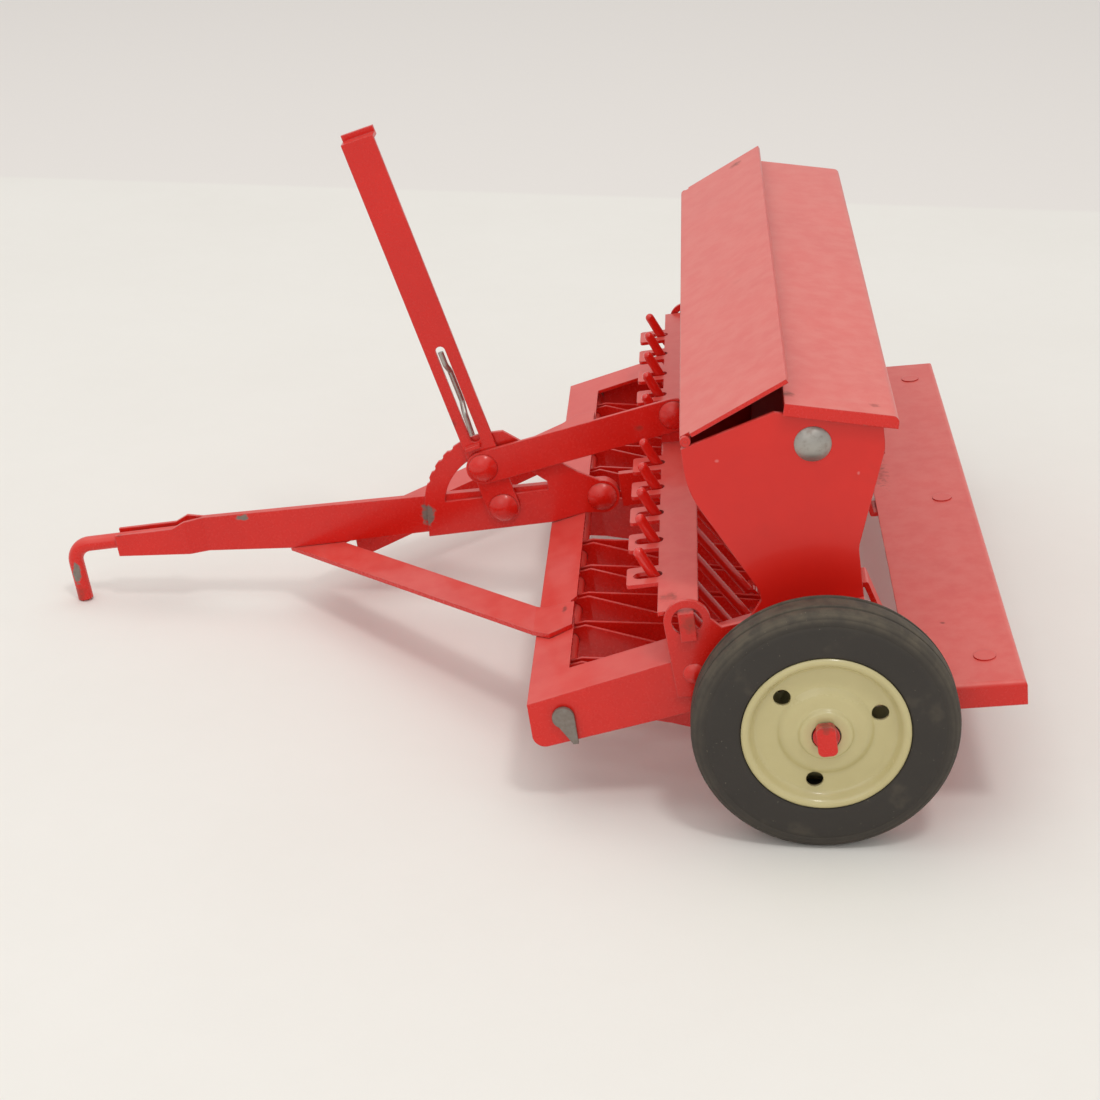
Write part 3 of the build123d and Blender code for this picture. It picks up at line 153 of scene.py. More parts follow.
class PaintBench:
    """Builds one node material, and offers the readings that the finishes share."""

    NOISE_ROUGHNESS = 0.55
    RAGGEDNESS = 1.5
    BEVEL_SAMPLES = 6
    CREASE_SAMPLES = 4
    COAT_ROUGHNESS = 0.12

    def __init__(self, name: str) -> None:
        """Starts an empty material.

        Args:
            name: the material's name.
        """
        self.material = bpy.data.materials.new(name)
        self.material.use_nodes = True
        self.tree = self.material.node_tree
        self.tree.nodes.clear()
        source = self.node("ShaderNodeTexCoord")
        self.place = source.outputs["Object"]
        self.facing = source.outputs["Normal"]

    def node(
        self, kind: str, settings: dict[str, Any] | None = None, sockets: dict[Any, Any] | None = None
    ) -> bpy.types.Node:
        """Makes any node.

        Args:
            kind: the node's type.
            settings: the node's own properties, set first.
            sockets: values or links for its inputs, by name or number.

        Returns:
            The new node.
        """
        made = self.tree.nodes.new(kind)
        for name, value in (settings or {}).items():
            setattr(made, name, value)
        for key, value in (sockets or {}).items():
            self._feed(made.inputs[key], value)
        return made

    def _feed(self, target: bpy.types.NodeSocket, value: Any) -> None:
        """Links a reading into a socket, or sets the socket's own value.

        Args:
            target: the input to feed.
            value: an Amount, a socket, a colour, a vector or a number.
        """
        if isinstance(value, Amount):
            self.tree.links.new(value.socket, target)
        elif isinstance(value, bpy.types.NodeSocket):
            self.tree.links.new(value, target)
        elif target.type == "RGBA":
            target.default_value = (*value, 1.0)
        else:
            target.default_value = value

    def maths(self, operation: str, first: Amount | float, second: Amount | float) -> Amount:
        """One Math node on two numbers.

        Args:
            operation: the Math node's operation.
            first: its first value.
            second: its second value.

        Returns:
            The result.
        """
        made = self.node("ShaderNodeMath", {"operation": operation}, {0: first, 1: second})
        return Amount(self, made.outputs[0])

    def noise(self, pattern: Pattern) -> Amount:
        """Cloudy noise fixed to the steel.

        Args:
            pattern: the pattern's size, detail and seed.

        Returns:
            The noise, mostly from 0.3 to 0.7.
        """
        size, detail, seed = pattern.value
        made = self.node(
            "ShaderNodeTexNoise",
            {"noise_dimensions": "4D"},
            {
                "Vector": self.place,
                "W": seed,
                "Scale": 1.0 / (size * MM),
                "Detail": detail,
                "Roughness": self.NOISE_ROUGHNESS,
            },
        )
        return Amount(self, made.outputs[0])

    def mix(self, share: Amount | float, under: Any, over: Any) -> bpy.types.NodeSocket:
        """A colour between two others.

        Args:
            share: how much of the second colour shows.
            under: the first colour.
            over: the second colour.

        Returns:
            The mixed colour's socket.
        """
        made = self.node("ShaderNodeMix", {"data_type": "RGBA"}, {0: share, 6: under, 7: over})
        return made.outputs[2]

    def part_of(self, vector: bpy.types.NodeSocket, axis: int) -> Amount:
        """One of a vector's three numbers."""
        made = self.node("ShaderNodeSeparateXYZ", {}, {0: vector})
        return Amount(self, made.outputs[axis])

    def upward(self) -> Amount:
        """1 where the steel faces up at rest, and -1 where it faces down."""
        return self.part_of(self.facing, 2)

    def rounded_normal(self, radius: float) -> bpy.types.NodeSocket:
        """A normal that turns softly round the edges of the sheet, over a radius in millimetres."""
        sockets = {"Radius": radius * MM}
        return self.node("ShaderNodeBevel", {"samples": self.BEVEL_SAMPLES}, sockets).outputs[0]

    def edge(self, radius: float) -> Amount:
        """Finds the edges of the sheet.

        Args:
            radius: how far in from an edge it reads, in millimetres.

        Returns:
            0 on a flat, and up to about 0.3 at a square edge.
        """
        flat = self.node("ShaderNodeNewGeometry").outputs["Normal"]
        turned = self.rounded_normal(radius)
        made = self.node("ShaderNodeVectorMath", {"operation": "DOT_PRODUCT"}, {0: turned, 1: flat})
        return 1.0 - Amount(self, made.outputs["Value"])

    def crease(self, reach: float) -> Amount:
        """How far a surface lies in a corner or a gap, looking out by a reach in millimetres."""
        settings = {"samples": self.CREASE_SAMPLES}
        made = self.node("ShaderNodeAmbientOcclusion", settings, {"Distance": reach * MM})
        return 1.0 - Amount(self, made.outputs["AO"])

    def near(self, point: Vector, reach: Triple, ragged: Amount, fade: float = 0.3) -> Amount:
        """A ragged spot.

        Args:
            point: the spot's middle in metres.
            reach: its half sizes along X, Y and Z in millimetres.
            ragged: noise that breaks its outline.
            fade: the share of its reach over which it fades out.

        Returns:
            1 inside the spot and 0 outside.
        """
        away = self.node("ShaderNodeVectorMath", {"operation": "SUBTRACT"}, {0: self.place, 1: point})
        scale = tuple(1.0 / (r * MM) for r in reach)
        scaled = self.node("ShaderNodeVectorMath", {"operation": "MULTIPLY"}, {0: away.outputs[0], 1: scale})
        length = self.node("ShaderNodeVectorMath", {"operation": "LENGTH"}, {0: scaled.outputs[0]})
        distance = Amount(self, length.outputs["Value"])
        return 1.0 - (distance + (ragged - 0.5) * self.RAGGEDNESS).rise(1.0 - fade, 1.0)

    def from_axis(self, centre: Vector) -> Amount:
        """Measures from a line along Y.

        Args:
            centre: a point on the line in metres.

        Returns:
            The distance from the line in millimetres.
        """
        away = self.node("ShaderNodeVectorMath", {"operation": "SUBTRACT"}, {0: self.place, 1: centre})
        flat = self.node(
            "ShaderNodeVectorMath", {"operation": "MULTIPLY"}, {0: away.outputs[0], 1: (1 / MM, 0.0, 1 / MM)}
        )
        length = self.node("ShaderNodeVectorMath", {"operation": "LENGTH"}, {0: flat.outputs[0]})
        return Amount(self, length.outputs["Value"])

    def finish(
        self,
        colour: Any,
        roughness: Any,
        metallic: Any = 0.0,
        height: Amount | None = None,
        edge_radius: float = 0.0,
        coat: float = 0.0,
        specular: float = 0.5,
    ) -> bpy.types.Material:
        """Closes the material with one surface shader.

        Args:
            colour: base colour.
            roughness: roughness.
            metallic: metallic share.
            height: relief in millimetres, if any.
            edge_radius: how far edges are softened, in millimetres.
            coat: strength of the clear gloss on top.
            specular: strength of the plain reflection.

        Returns:
            The finished material.
        """
        sockets = {
            "Base Color": colour,
            "Roughness": roughness,
            "Metallic": metallic,
            "Coat Weight": coat,
            "Coat Roughness": self.COAT_ROUGHNESS,
            "Specular IOR Level": specular,
        }
        normal = self.rounded_normal(edge_radius) if edge_radius else None
        if height is not None:
            bump = {"Height": height, "Distance": MM, "Strength": 1.0}
            if normal is not None:
                bump["Normal"] = normal
            normal = self.node("ShaderNodeBump", {}, bump).outputs[0]
        if normal is not None:
            sockets["Normal"] = normal
        shader = self.node("ShaderNodeBsdfPrincipled", {}, sockets)
        self.node("ShaderNodeOutputMaterial", {}, {"Surface": shader.outputs[0]})
        return self.material


# ---------------------------------------------------------------- finishes


class MarkKind(Enum):
    """What an old toy's paint shows in one place."""

    CHIP = "paint gone down to grey steel"
    RUST = "brown rust or an oily smudge"
    GRIME = "dark dirt"
    SCUFF = "pale rubbed paint"


@dataclass(frozen=True)
class Mark:
    """One mark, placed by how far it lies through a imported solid's box."""

    kind: MarkKind
    node: str
    part_way: Triple
    reach: Triple

    def point(self) -> Vector:
        """The mark's middle in metres."""
        low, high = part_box(self.node)
        return Vector(a + (b - a) * share for a, b, share in zip(low, high, self.part_way))


@dataclass(frozen=True)
class Enamel:
    """Glossy stoved enamel on pressed steel: dust with painted sheen on top, dirt with painted shade in its
    corners, and wear with a painted highlight at its edges.
    """

    name: str
    colour: Colour
    deep: Colour
    # Dust on faces that look up: its pinkish colour is also a painted sheen on those faces.
    dust: Colour
    dustiness: float = 0.35
    # Strength of the dirt, and of the painted shade in corners and gaps.
    dirt: float = 0.5
    # Strength of the edge wear and chips, and of the painted highlight along the edges.
    wear: float = 0.5
    gloss: float = 0.24
    coat: float = 0.2
    specular: float = 0.4
    edge_radius: float = 0.35
    marks: tuple[Mark, ...] = ()

    STEEL = (0.30, 0.28, 0.25)
    RUST = (0.10, 0.042, 0.022)
    # Dark colour of dirt, also used as painted shade in corners and gaps.
    GRIME = (0.045, 0.024, 0.018)
    CHIP_FADE = 0.3
    STAIN_FADE = 0.9
    CREASE_REACH = 3.0
    UPWARD = (0.1, 0.95)
    DUST_PATCHES = (0.3, 0.7)
    SPECKS = (0.66, 0.78)
    # Pale edges, from rubbed paint and a painted highlight.
    RUBBED_AND_HIGHLIT_EDGE = (0.05, 0.3)
    RUBBED_AND_HIGHLIT_PATCHES = (0.35, 0.65)
    # Dark corners and gaps, from dirt and painted shade.
    DIRT_AND_SHADE_CORNER = (0.35, 0.95)
    DIRT_AND_SHADE_PATCHES = (0.38, 0.62)
    SMUDGES = (0.62, 0.78)
    RUST_PATCHES = (0.4, 0.6)
    CHIPPED_EDGE = (0.08, 0.2)
    CHIPS = (0.63, 0.66)

    def _marked(self, bench: PaintBench, kind: MarkKind, ragged: Amount) -> Amount | None:
        """All marks of one kind together, as a share from 0 to 1.

        Args:
            bench: the bench in use.
            kind: the kind of mark.
            ragged: noise that breaks the outlines.

        Returns:
            The share, or None where the finish has no such mark.
        """
        together = None
        fade = self.CHIP_FADE if kind is MarkKind.CHIP else self.STAIN_FADE
        for mark in self.marks:
            if mark.kind is kind:
                spot = bench.near(mark.point(), mark.reach, ragged, fade)
                together = spot if together is None else together.larger(spot)
        return together

    def _rubbed_and_highlit(self, bench: PaintBench, edge: Amount, patch: Amount, ragged: Amount) -> Amount:
        """Where the paint turns pale: rubbed paint, and a painted highlight along every edge.

        Args:
            bench: the bench in use.
            edge: where the sheet's edges are.
            patch: noise that makes the wear and the painted highlight uneven.
            ragged: noise that breaks the outlines.

        Returns:
            The share of rubbed paint and painted highlight.
        """
        # Painted highlight and wear: edges are lightened toward pale pink.
        rubbed = edge.rise(*self.RUBBED_AND_HIGHLIT_EDGE) * patch.rise(*self.RUBBED_AND_HIGHLIT_PATCHES) * 0.6
        scuffs = self._marked(bench, MarkKind.SCUFF, ragged)
        return rubbed if scuffs is None else rubbed.larger(scuffs * 0.8)

    def _dirty(self, bench: PaintBench, patch: Amount, ragged: Amount) -> Amount:
        """Where dirt and painted shade sit: dirt with painted shade in corners and gaps, and dirt alone in
        faint smudges and in marks of grime.

        Args:
            bench: the bench in use.
            patch: noise that makes the dirt and painted shade in corners uneven.
            ragged: noise that breaks the outlines.

        Returns:
            The share of dirt and painted shade.
        """
        # Painted shade: ambient occlusion darkens corners and gaps, together with their dirt.
        corner = bench.crease(self.CREASE_REACH).rise(*self.DIRT_AND_SHADE_CORNER)
        corner = corner * patch.rise(*self.DIRT_AND_SHADE_PATCHES) * self.dirt
        smudge = bench.noise(Pattern.SMUDGE).rise(*self.SMUDGES) * 0.10 * self.dirt
        dirty = corner.larger(smudge)
        grime = self._marked(bench, MarkKind.GRIME, ragged)
        return dirty if grime is None else dirty.larger(grime * 0.6)

    def _chipped(self, bench: PaintBench, edge: Amount, ragged: Amount) -> Amount:
        """Where the paint is gone.

        Args:
            bench: the bench in use.
            edge: where the sheet's edges are.
            ragged: noise that breaks the outlines.

        Returns:
            The share of bare steel.
        """
        chipping = bench.noise(Pattern.CHIPPING).rise(*self.CHIPS)
        chipped = (edge.rise(*self.CHIPPED_EDGE) * chipping) * self.wear
        chips = self._marked(bench, MarkKind.CHIP, ragged)
        return chipped if chips is None else chipped.larger(chips)

    def material(self) -> bpy.types.Material:
        """Mixes the paint, its dust with painted sheen, its dirt with painted shade and its wear with a
        painted edge highlight.

        Returns:
            The material.
        """
        bench = PaintBench(self.name)
        cloud = bench.noise(Pattern.CLOUD)
        patch = bench.noise(Pattern.PATCH)
        grain = bench.noise(Pattern.GRAIN)
        ragged = bench.noise(Pattern.RAGGED)
        speck = bench.noise(Pattern.SPECK).rise(*self.SPECKS)
        edge = bench.edge(self.edge_radius * 1.6)

        colour = bench.mix((cloud * 0.9 + patch * 0.5 - 0.2).clamped(), self.deep, self.colour)
        # Painted sheen: faces that look up take the pinkish dust colour, which is dust and also the sky's
        # sheen on the gloss.
        settled_dust_and_sheen = bench.upward().rise(*self.UPWARD) * (0.6 + 0.4 * patch.rise(*self.DUST_PATCHES))
        dust = (settled_dust_and_sheen * self.dustiness + speck * 0.15 * self.dustiness).clamped()
        colour = bench.mix(dust, colour, self.dust)

        # Pale pink for rubbed edges and scuffs, and for the painted edge highlight.
        pale = tuple(min(1.0, part * 0.6 + 0.32) for part in self.colour)
        colour = bench.mix(self._rubbed_and_highlit(bench, edge, patch, ragged) * self.wear, colour, pale)

        # Dirt and painted shade in corners and gaps, mixed in dark.
        dirty = self._dirty(bench, patch, ragged)
        colour = bench.mix(dirty, colour, self.GRIME)
        rusty = self._marked(bench, MarkKind.RUST, ragged)
        if rusty is not None:
            rust_share = rusty * (0.4 + 0.4 * patch.rise(*self.RUST_PATCHES))
            colour = bench.mix(rust_share, colour, self.RUST)
            dirty = dirty.larger(rusty * 0.7)

        chipped = self._chipped(bench, edge, ragged)
        colour = bench.mix(chipped, colour, bench.mix(grain * 0.7, self.STEEL, self.RUST))

        roughness = (self.gloss + dust * 0.35 + dirty * 0.3 + chipped * 0.25 + grain * 0.06).clamped()
        swell = bench.noise(Pattern.SWELL)
        height = swell * 0.12 + grain * 0.003 + speck * 0.004 - chipped * 0.05
        return bench.finish(
            colour,
            roughness,
            metallic=chipped * 0.45,
            height=height,
            edge_radius=self.edge_radius,
            coat=self.coat,
            specular=self.specular,
        )


@dataclass(frozen=True)
class Rubber:
    """Dull tyre rubber with an olive-grey bloom of dust in its ribs."""

    name: str
    centre: Vector
    face: Colour = (0.030, 0.026, 0.023)
    worn: Colour = (0.048, 0.041, 0.034)
    dust: Colour = (0.145, 0.12, 0.085)

    SPECK_COLOUR = (0.22, 0.19, 0.14)
    SHOULDER = (25.5, 29.6)
    UPWARD = (-0.2, 0.9)
    BLOOM_PATCHES = (0.35, 0.65)
    DUST_CLOUDS = (0.58, 0.70)
    SPECKS = (0.72, 0.78)
    RING_TURN = 5.2

    def material(self) -> bpy.types.Material:
        """Mixes the rubber and its dust.

        Returns:
            The material.
        """
        bench = PaintBench(self.name)
        cloud = bench.noise(Pattern.RUBBER_CLOUD)
        patch = bench.noise(Pattern.RUBBER_PATCH)
        grain = bench.noise(Pattern.RUBBER_GRAIN)
        out = bench.from_axis(self.centre)
        ring = (out * self.RING_TURN).wave() * 0.5 + 0.5
        colour = bench.mix((cloud * 0.8 + grain * 0.4 - 0.1).clamped(), self.face, self.worn)
        shoulder = out.rise(*self.SHOULDER)
        up = bench.upward().rise(*self.UPWARD)
        patches = 0.4 + 0.6 * patch.rise(*self.BLOOM_PATCHES)
        bloom = (shoulder * (0.25 + 0.55 * up) * patches).clamped()
        clouds = cloud.rise(*self.DUST_CLOUDS) * 0.45
        dusty = bloom.larger(clouds * (0.3 + 0.7 * patch))
        colour = bench.mix((dusty * 0.75 + shoulder * ring * 0.08).clamped(), colour, self.dust)
        speck = bench.noise(Pattern.RUBBER_SPECK).rise(*self.SPECKS)
        colour = bench.mix(speck * 0.4, colour, self.SPECK_COLOUR)
        roughness = (0.62 + 0.2 * dusty + 0.08 * grain).clamped()
        height = shoulder * ring * 0.03 + grain * 0.012 + patch * 0.02
        return bench.finish(colour, roughness, height=height, specular=0.35)


@dataclass(frozen=True)
class BareSteel:
    """Unpainted steel gone dull, with brown stains."""

    name: str
    colour: Colour = (0.42, 0.40, 0.37)
    stain: Colour = (0.14, 0.085, 0.05)
    staining: float = 0.5
    edge_radius: float = 0.15

    CREASE_REACH = 1.2
    STAINED_CREASE = (0.3, 0.9)
    STAIN_PATCHES = (0.5, 0.72)

    def material(self) -> bpy.types.Material:
        """Mixes the steel and its stains.

        Returns:
            The material.
        """
        bench = PaintBench(self.name)
        patch = bench.noise(Pattern.STEEL_PATCH)
        grain = bench.noise(Pattern.STEEL_GRAIN)
        crease = bench.crease(self.CREASE_REACH).rise(*self.STAINED_CREASE)
        stained = ((crease + patch.rise(*self.STAIN_PATCHES) * 0.6) * self.staining).clamped()
        colour = bench.mix(stained, self.colour, self.stain)
        roughness = (0.34 + 0.3 * stained + 0.15 * grain).clamped()
        metallic = 0.9 - stained * 0.5
        height = grain * 0.006 + patch * 0.01
        return bench.finish(colour, roughness, metallic, height, self.edge_radius)


RED = (0.74, 0.015, 0.007)
DEEP_RED = (0.60, 0.010, 0.006)
# Pinkish dust on top faces, which also holds a painted sheen.
PINK_DUST_AND_SHEEN = (0.74, 0.27, 0.23)
CREAM = (0.60, 0.53, 0.27)
DEEP_CREAM = (0.50, 0.43, 0.20)
PALE_DUST = (0.52, 0.47, 0.30)


def red_enamel(name: str, marks: Iterable[Mark] = (), **changes: Any) -> bpy.types.Material:
    """The drill's red enamel for one sub-assembly.

    Args:
        name: the sub-assembly's name.
        marks: its own chips, rust and smudges.
        changes: fields of Enamel that differ on it.

    Returns:
        The material.
    """
    fields = {"colour": RED, "deep": DEEP_RED, "dust": PINK_DUST_AND_SHEEN, **changes}
    return Enamel(name=f"red_enamel_{name}", marks=tuple(marks), **fields).material()


# ---------------------------------------------------------------- mesh work


def lathe(name: str, profile: Profile, centre: Vector, outward: float, turns: int = 144) -> bpy.types.Object:
    """Turns a closed section about a line along Y.

    Args:
        name: the new piece's name.
        profile: the section's corners as (radius, distance outward) in millimetres.
        centre: the line's middle point in metres.
        outward: 1 where outward is +Y, and -1 where it is -Y.
        turns: how many steps go round.

    Returns:
        The turned piece, smooth shaded.
    """
    mesh = bmesh.new()
    rings = []
    for step in range(turns):
        angle = 2 * math.pi * step / turns
        ring = []
        for radius, out in profile:
            across = Vector((radius * math.cos(angle), outward * out, radius * math.sin(angle))) * MM
            ring.append(mesh.verts.new(centre + across))
        rings.append(ring)
    for step in range(turns):
        here, there = rings[step], rings[(step + 1) % turns]
        for k in range(len(profile)):
            m = (k + 1) % len(profile)
            mesh.faces.new((here[k], here[m], there[m], there[k]))
    bmesh.ops.recalc_face_normals(mesh, faces=mesh.faces)
    data = bpy.data.meshes.new(name)
    mesh.to_mesh(data)
    mesh.free()
    data.shade_smooth()
    made = bpy.data.objects.new(name, data)
    bpy.context.scene.collection.objects.link(made)
    return made


def softened(profile: Profile, rounds: int = 2) -> list[tuple[float, float]]:
    """Cuts the corners of an open outline until it bends like pressed sheet.

    Args:
        profile: the outline's corners.
        rounds: how many times the corners are cut.

    Returns:
        The softer outline, with the same two ends.
    """
    points = list(profile)
    for _ in range(rounds):
        cut = [points[0]]
        for (r0, y0), (r1, y1) in zip(points, points[1:]):
            cut.append((r0 * 0.75 + r1 * 0.25, y0 * 0.75 + y1 * 0.25))
            cut.append((r0 * 0.25 + r1 * 0.75, y0 * 0.25 + y1 * 0.75))
        cut.append(points[-1])
        points = cut
    return points


def punched(piece: bpy.types.Object, holes: Sequence[Vector], radius: float, depth: float) -> None:
    """Punches round holes along Y through a piece.

    Args:
        piece: the piece.
        holes: the holes' centres in metres.
        radius: their radius in millimetres.
        depth: how long the punch is in millimetres.
    """
    tool = bmesh.new()
    for hole in holes:
        made = bmesh.ops.create_cone(
            tool, cap_ends=True, segments=40, radius1=radius * MM, radius2=radius * MM, depth=depth * MM
        )
        for vert in made["verts"]:
            vert.co = Vector((vert.co.x, -vert.co.z, vert.co.y)) + hole
    data = bpy.data.meshes.new("punch")
    tool.to_mesh(data)
    tool.free()
    punch = bpy.data.objects.new("punch", data)
    bpy.context.scene.collection.objects.link(punch)
    cut = piece.modifiers.new("punched", "BOOLEAN")
    cut.operation = "DIFFERENCE"
    cut.solver = "EXACT"
    cut.object = punch
    depsgraph = bpy.context.evaluated_depsgraph_get()
    result = bpy.data.meshes.new_from_object(piece.evaluated_get(depsgraph))
    piece.modifiers.clear()
    piece.data = result
    bpy.data.objects.remove(punch)
    bpy.data.meshes.remove(data)


# ---------------------------------------------------------------- sub-assemblies


class Side(Enum):
    """The drill's two sides, by the sign of Y."""

    LEFT = 1
    RIGHT = -1


class SubAssembly:
    """A group of pieces that are finished together."""

    title = "sub-assembly"

    def dress(self, names: Iterable[str], material: bpy.types.Material) -> None:
        """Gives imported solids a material.

        Args:
            names: the solids' names.
            material: their new material.
        """
        for name in names:
            for slot in frame["nodes"][name].material_slots:
                slot.material = material
            LOG.info("%s: %s finished in %s", self.title, name, material.name)

    def place(
        self, piece: bpy.types.Object, body: str, replaced: str, slot: str, material: bpy.types.Material
    ) -> None:
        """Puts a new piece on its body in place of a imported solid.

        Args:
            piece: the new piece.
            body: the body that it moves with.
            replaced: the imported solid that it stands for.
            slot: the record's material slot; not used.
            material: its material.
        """
        piece.data.materials.append(material)
        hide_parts(replaced)
        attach(piece, body)
        LOG.info("%s: %s made for %s", self.title, piece.name, replaced)


@dataclass
class Wheel(SubAssembly):
    """A rubber tyre clamped between two stamped discs, on a steel bush."""

    side: Side
    hole_radius: float = 1.95
    hole_circle: float = 12.8
    first_hole: float = 38.0
    steel: float = 0.7
    title = "wheel"

    PUNCH_LENGTH = 20.0
    TYRE_TURNS = 192
    SHOULDER = (
        (19.08, 5.3), (19.12, 5.62), (19.45, 5.84), (20.5, 5.93), (23.5, 5.98), (25.8, 5.93),
        (26.55, 5.84), (26.75, 5.70), (26.95, 5.70), (27.15, 5.80), (27.8, 5.66), (28.25, 5.50),
        (28.42, 5.36), (28.56, 5.32), (28.75, 5.30), (29.20, 4.86), (29.34, 4.64), (29.46, 4.52),
        (29.66, 4.40), (29.92, 3.88), (30.08, 3.35), (30.13, 2.98), (30.06, 2.87), (29.72, 2.80),
        (29.66, 2.70), (29.66, 2.12), (29.72, 2.02), (30.06, 1.95), (30.14, 1.84), (30.15, 0.9),
    )
    SEAT = ((18.4, -5.0), (17.2, -3.9), (16.65, -2.9), (16.65, 2.9), (17.2, 3.9), (18.4, 5.0))
    FACE = (
        (3.3, 6.5), (4.9, 6.5), (5.8, 6.3), (6.3, 5.35), (7.4, 5.15), (9.1, 5.0), (10.3, 4.3),
        (11.0, 3.65), (12.2, 3.55), (14.9, 3.55), (15.9, 3.75), (16.6, 4.7), (17.1, 5.7),
        (17.8, 6.2), (18.5, 6.2), (18.95, 5.75),
    )

    def _centre(self) -> Vector:
        """The middle of the wheel in metres."""
        low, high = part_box(f"{self.side.name.lower()}_tyre")
        return (low + high) / 2

    def _tyre_section(self) -> list[tuple[float, float]]:
        """Joins both shoulders and the seat on the discs.

        Returns:
            The closed section as (radius, distance outward) in millimetres.
        """
        inner = [(radius, -out) for radius, out in reversed(self.SHOULDER)]
        return [*self.SHOULDER, *inner, *self.SEAT]

    def _disc(self, name: str, outward: int, centre: Vector) -> bpy.types.Object:
        """Stamps one disc.

        Args:
            name: the disc's name.
            outward: the sign of Y that its face looks along.
            centre: the middle of the wheel in metres.

        Returns:
            The disc with its three holes.
        """
        face = softened(self.FACE)
        back = [(radius, out - self.steel) for radius, out in reversed(face)]
        disc = lathe(name, face + back, centre, outward)
        holes = []
        for turn in range(3):
            angle = math.radians(self.first_hole + 120 * turn)
            spot = Vector((math.cos(angle), 0.0, math.sin(angle))) * self.hole_circle * MM
            holes.append(centre + spot)
        punched(disc, holes, self.hole_radius, self.PUNCH_LENGTH)
        return disc

    def build(self) -> None:
        """Makes the tyre and both discs, and finishes the bush."""
        side = self.side.name.lower()
        body = f"{side}_wheel"
        centre = self._centre()
        rubber = Rubber(f"tyre_rubber_{side}", centre).material()
        cream = Enamel(
            name=f"cream_enamel_{side}",
            colour=CREAM,
            deep=DEEP_CREAM,
            dust=PALE_DUST,
            dustiness=0.3,
            dirt=0.55,
            wear=0.35,
            gloss=0.22,
            coat=0.5,
            edge_radius=0.25,
        ).material()
        section = self._tyre_section()
        tyre = lathe(f"{side}_moulded_tyre", section, centre, self.side.value, self.TYRE_TURNS)
        self.place(tyre, body, f"{side}_tyre", "tyre_rubber", rubber)
        for which, sign in (("outer", self.side.value), ("inner", -self.side.value)):
            disc = self._disc(f"{side}_stamped_{which}_disc", sign, centre)
            self.place(disc, body, f"{side}_wheel_{which}_disc", "cream_enamel", cream)
        self.dress([f"{side}_wheel_bush"], BareSteel(f"bush_steel_{side}", staining=0.9).material())


@dataclass
class Chassis(SubAssembly):
    """The open frame, its side brackets, the axle, the front rod and their rivets."""

    dustiness: float = 0.28
    title = "chassis"

    def build(self) -> None:
        """Finishes the chassis."""
        notch = (Mark(MarkKind.RUST, "frame", (0.875, 0.80, 0.40), (1.8, 3.0, 1.2)),)
        notch += (Mark(MarkKind.RUST, "frame", (0.875, 0.20, 0.40), (1.8, 3.0, 1.2)),)
        notch += (Mark(MarkKind.SCUFF, "frame", (0.97, 0.985, 0.35), (0.8, 3.0, 0.9)),)
        names = ["frame", "left_side_bracket", "right_side_bracket", "bracket_rivets"]
        self.dress(names, red_enamel("frame", notch, dustiness=self.dustiness, dirt=0.7))
        tag = tuple(
            Mark(MarkKind.CHIP, "front_rod", (0.5, share, 0.5), (10.0, 4.0, 14.0))
            for share in (0.998, 0.002)
        )
        self.dress(["front_rod"], red_enamel("front_rod", tag, dirt=0.8))
        # Brown at the top of each axle end: rust, with painted shade where the hub's hole shades the stub.
        ends = tuple(Mark(MarkKind.RUST, "axle", (0.5, y, 1.0), (3.2, 3.0, 2.6)) for y in (0.995, 0.005))
        self.dress(["axle"], red_enamel("axle", ends, dirt=0.9, wear=0.8))


@dataclass
class Drawbar(SubAssembly):
    """The hooked tongue, its quadrant, the angled brace and the strut."""

    wear: float = 0.6
    title = "drawbar"

    def build(self) -> None:
        """Finishes the drawbar."""
        tongue = (
            Mark(MarkKind.CHIP, "left_tongue_strip", (0.745, 0.8, 0.46), (2.0, 3.0, 1.2)),
            Mark(MarkKind.GRIME, "left_tongue_strip", (0.99, 0.9, 0.28), (1.6, 3.0, 1.6)),
            Mark(MarkKind.CHIP, "hitch_hook", (0.93, 0.95, 0.37), (1.3, 1.6, 3.4)),
            Mark(MarkKind.RUST, "hitch_hook", (0.92, 0.8, 0.10), (2.4, 2.4, 3.2)),
            Mark(MarkKind.CHIP, "quadrant", (0.985, 0.9, 0.20), (2.4, 2.0, 3.6)),
        )
        names = ["left_tongue_strip", "right_tongue_strip", "hitch_hook", "quadrant", "lever_pivot_rivet"]
        self.dress(names, red_enamel("tongue", tongue, wear=self.wear, dustiness=0.25))
        rear = (
            Mark(MarkKind.GRIME, "tongue_rear_rivet", (0.5, 0.5, 0.95), (3.0, 2.0, 1.0)),
        )
        self.dress(["tongue_rear_rivet", "centre_strut"], red_enamel("strut", rear, dirt=0.9))
        brace = (
            Mark(MarkKind.GRIME, "drawbar_brace", (0.03, 0.92, 0.95), (0.8, 3.0, 1.0)),
            Mark(MarkKind.GRIME, "drawbar_brace", (0.03, 0.08, 0.95), (0.8, 3.0, 1.0)),
            Mark(MarkKind.CHIP, "drawbar_brace", (0.93, 0.56, 0.2), (1.6, 2.2, 1.0)),
        )
        self.dress(["drawbar_brace"], red_enamel("brace", brace, dustiness=0.3))


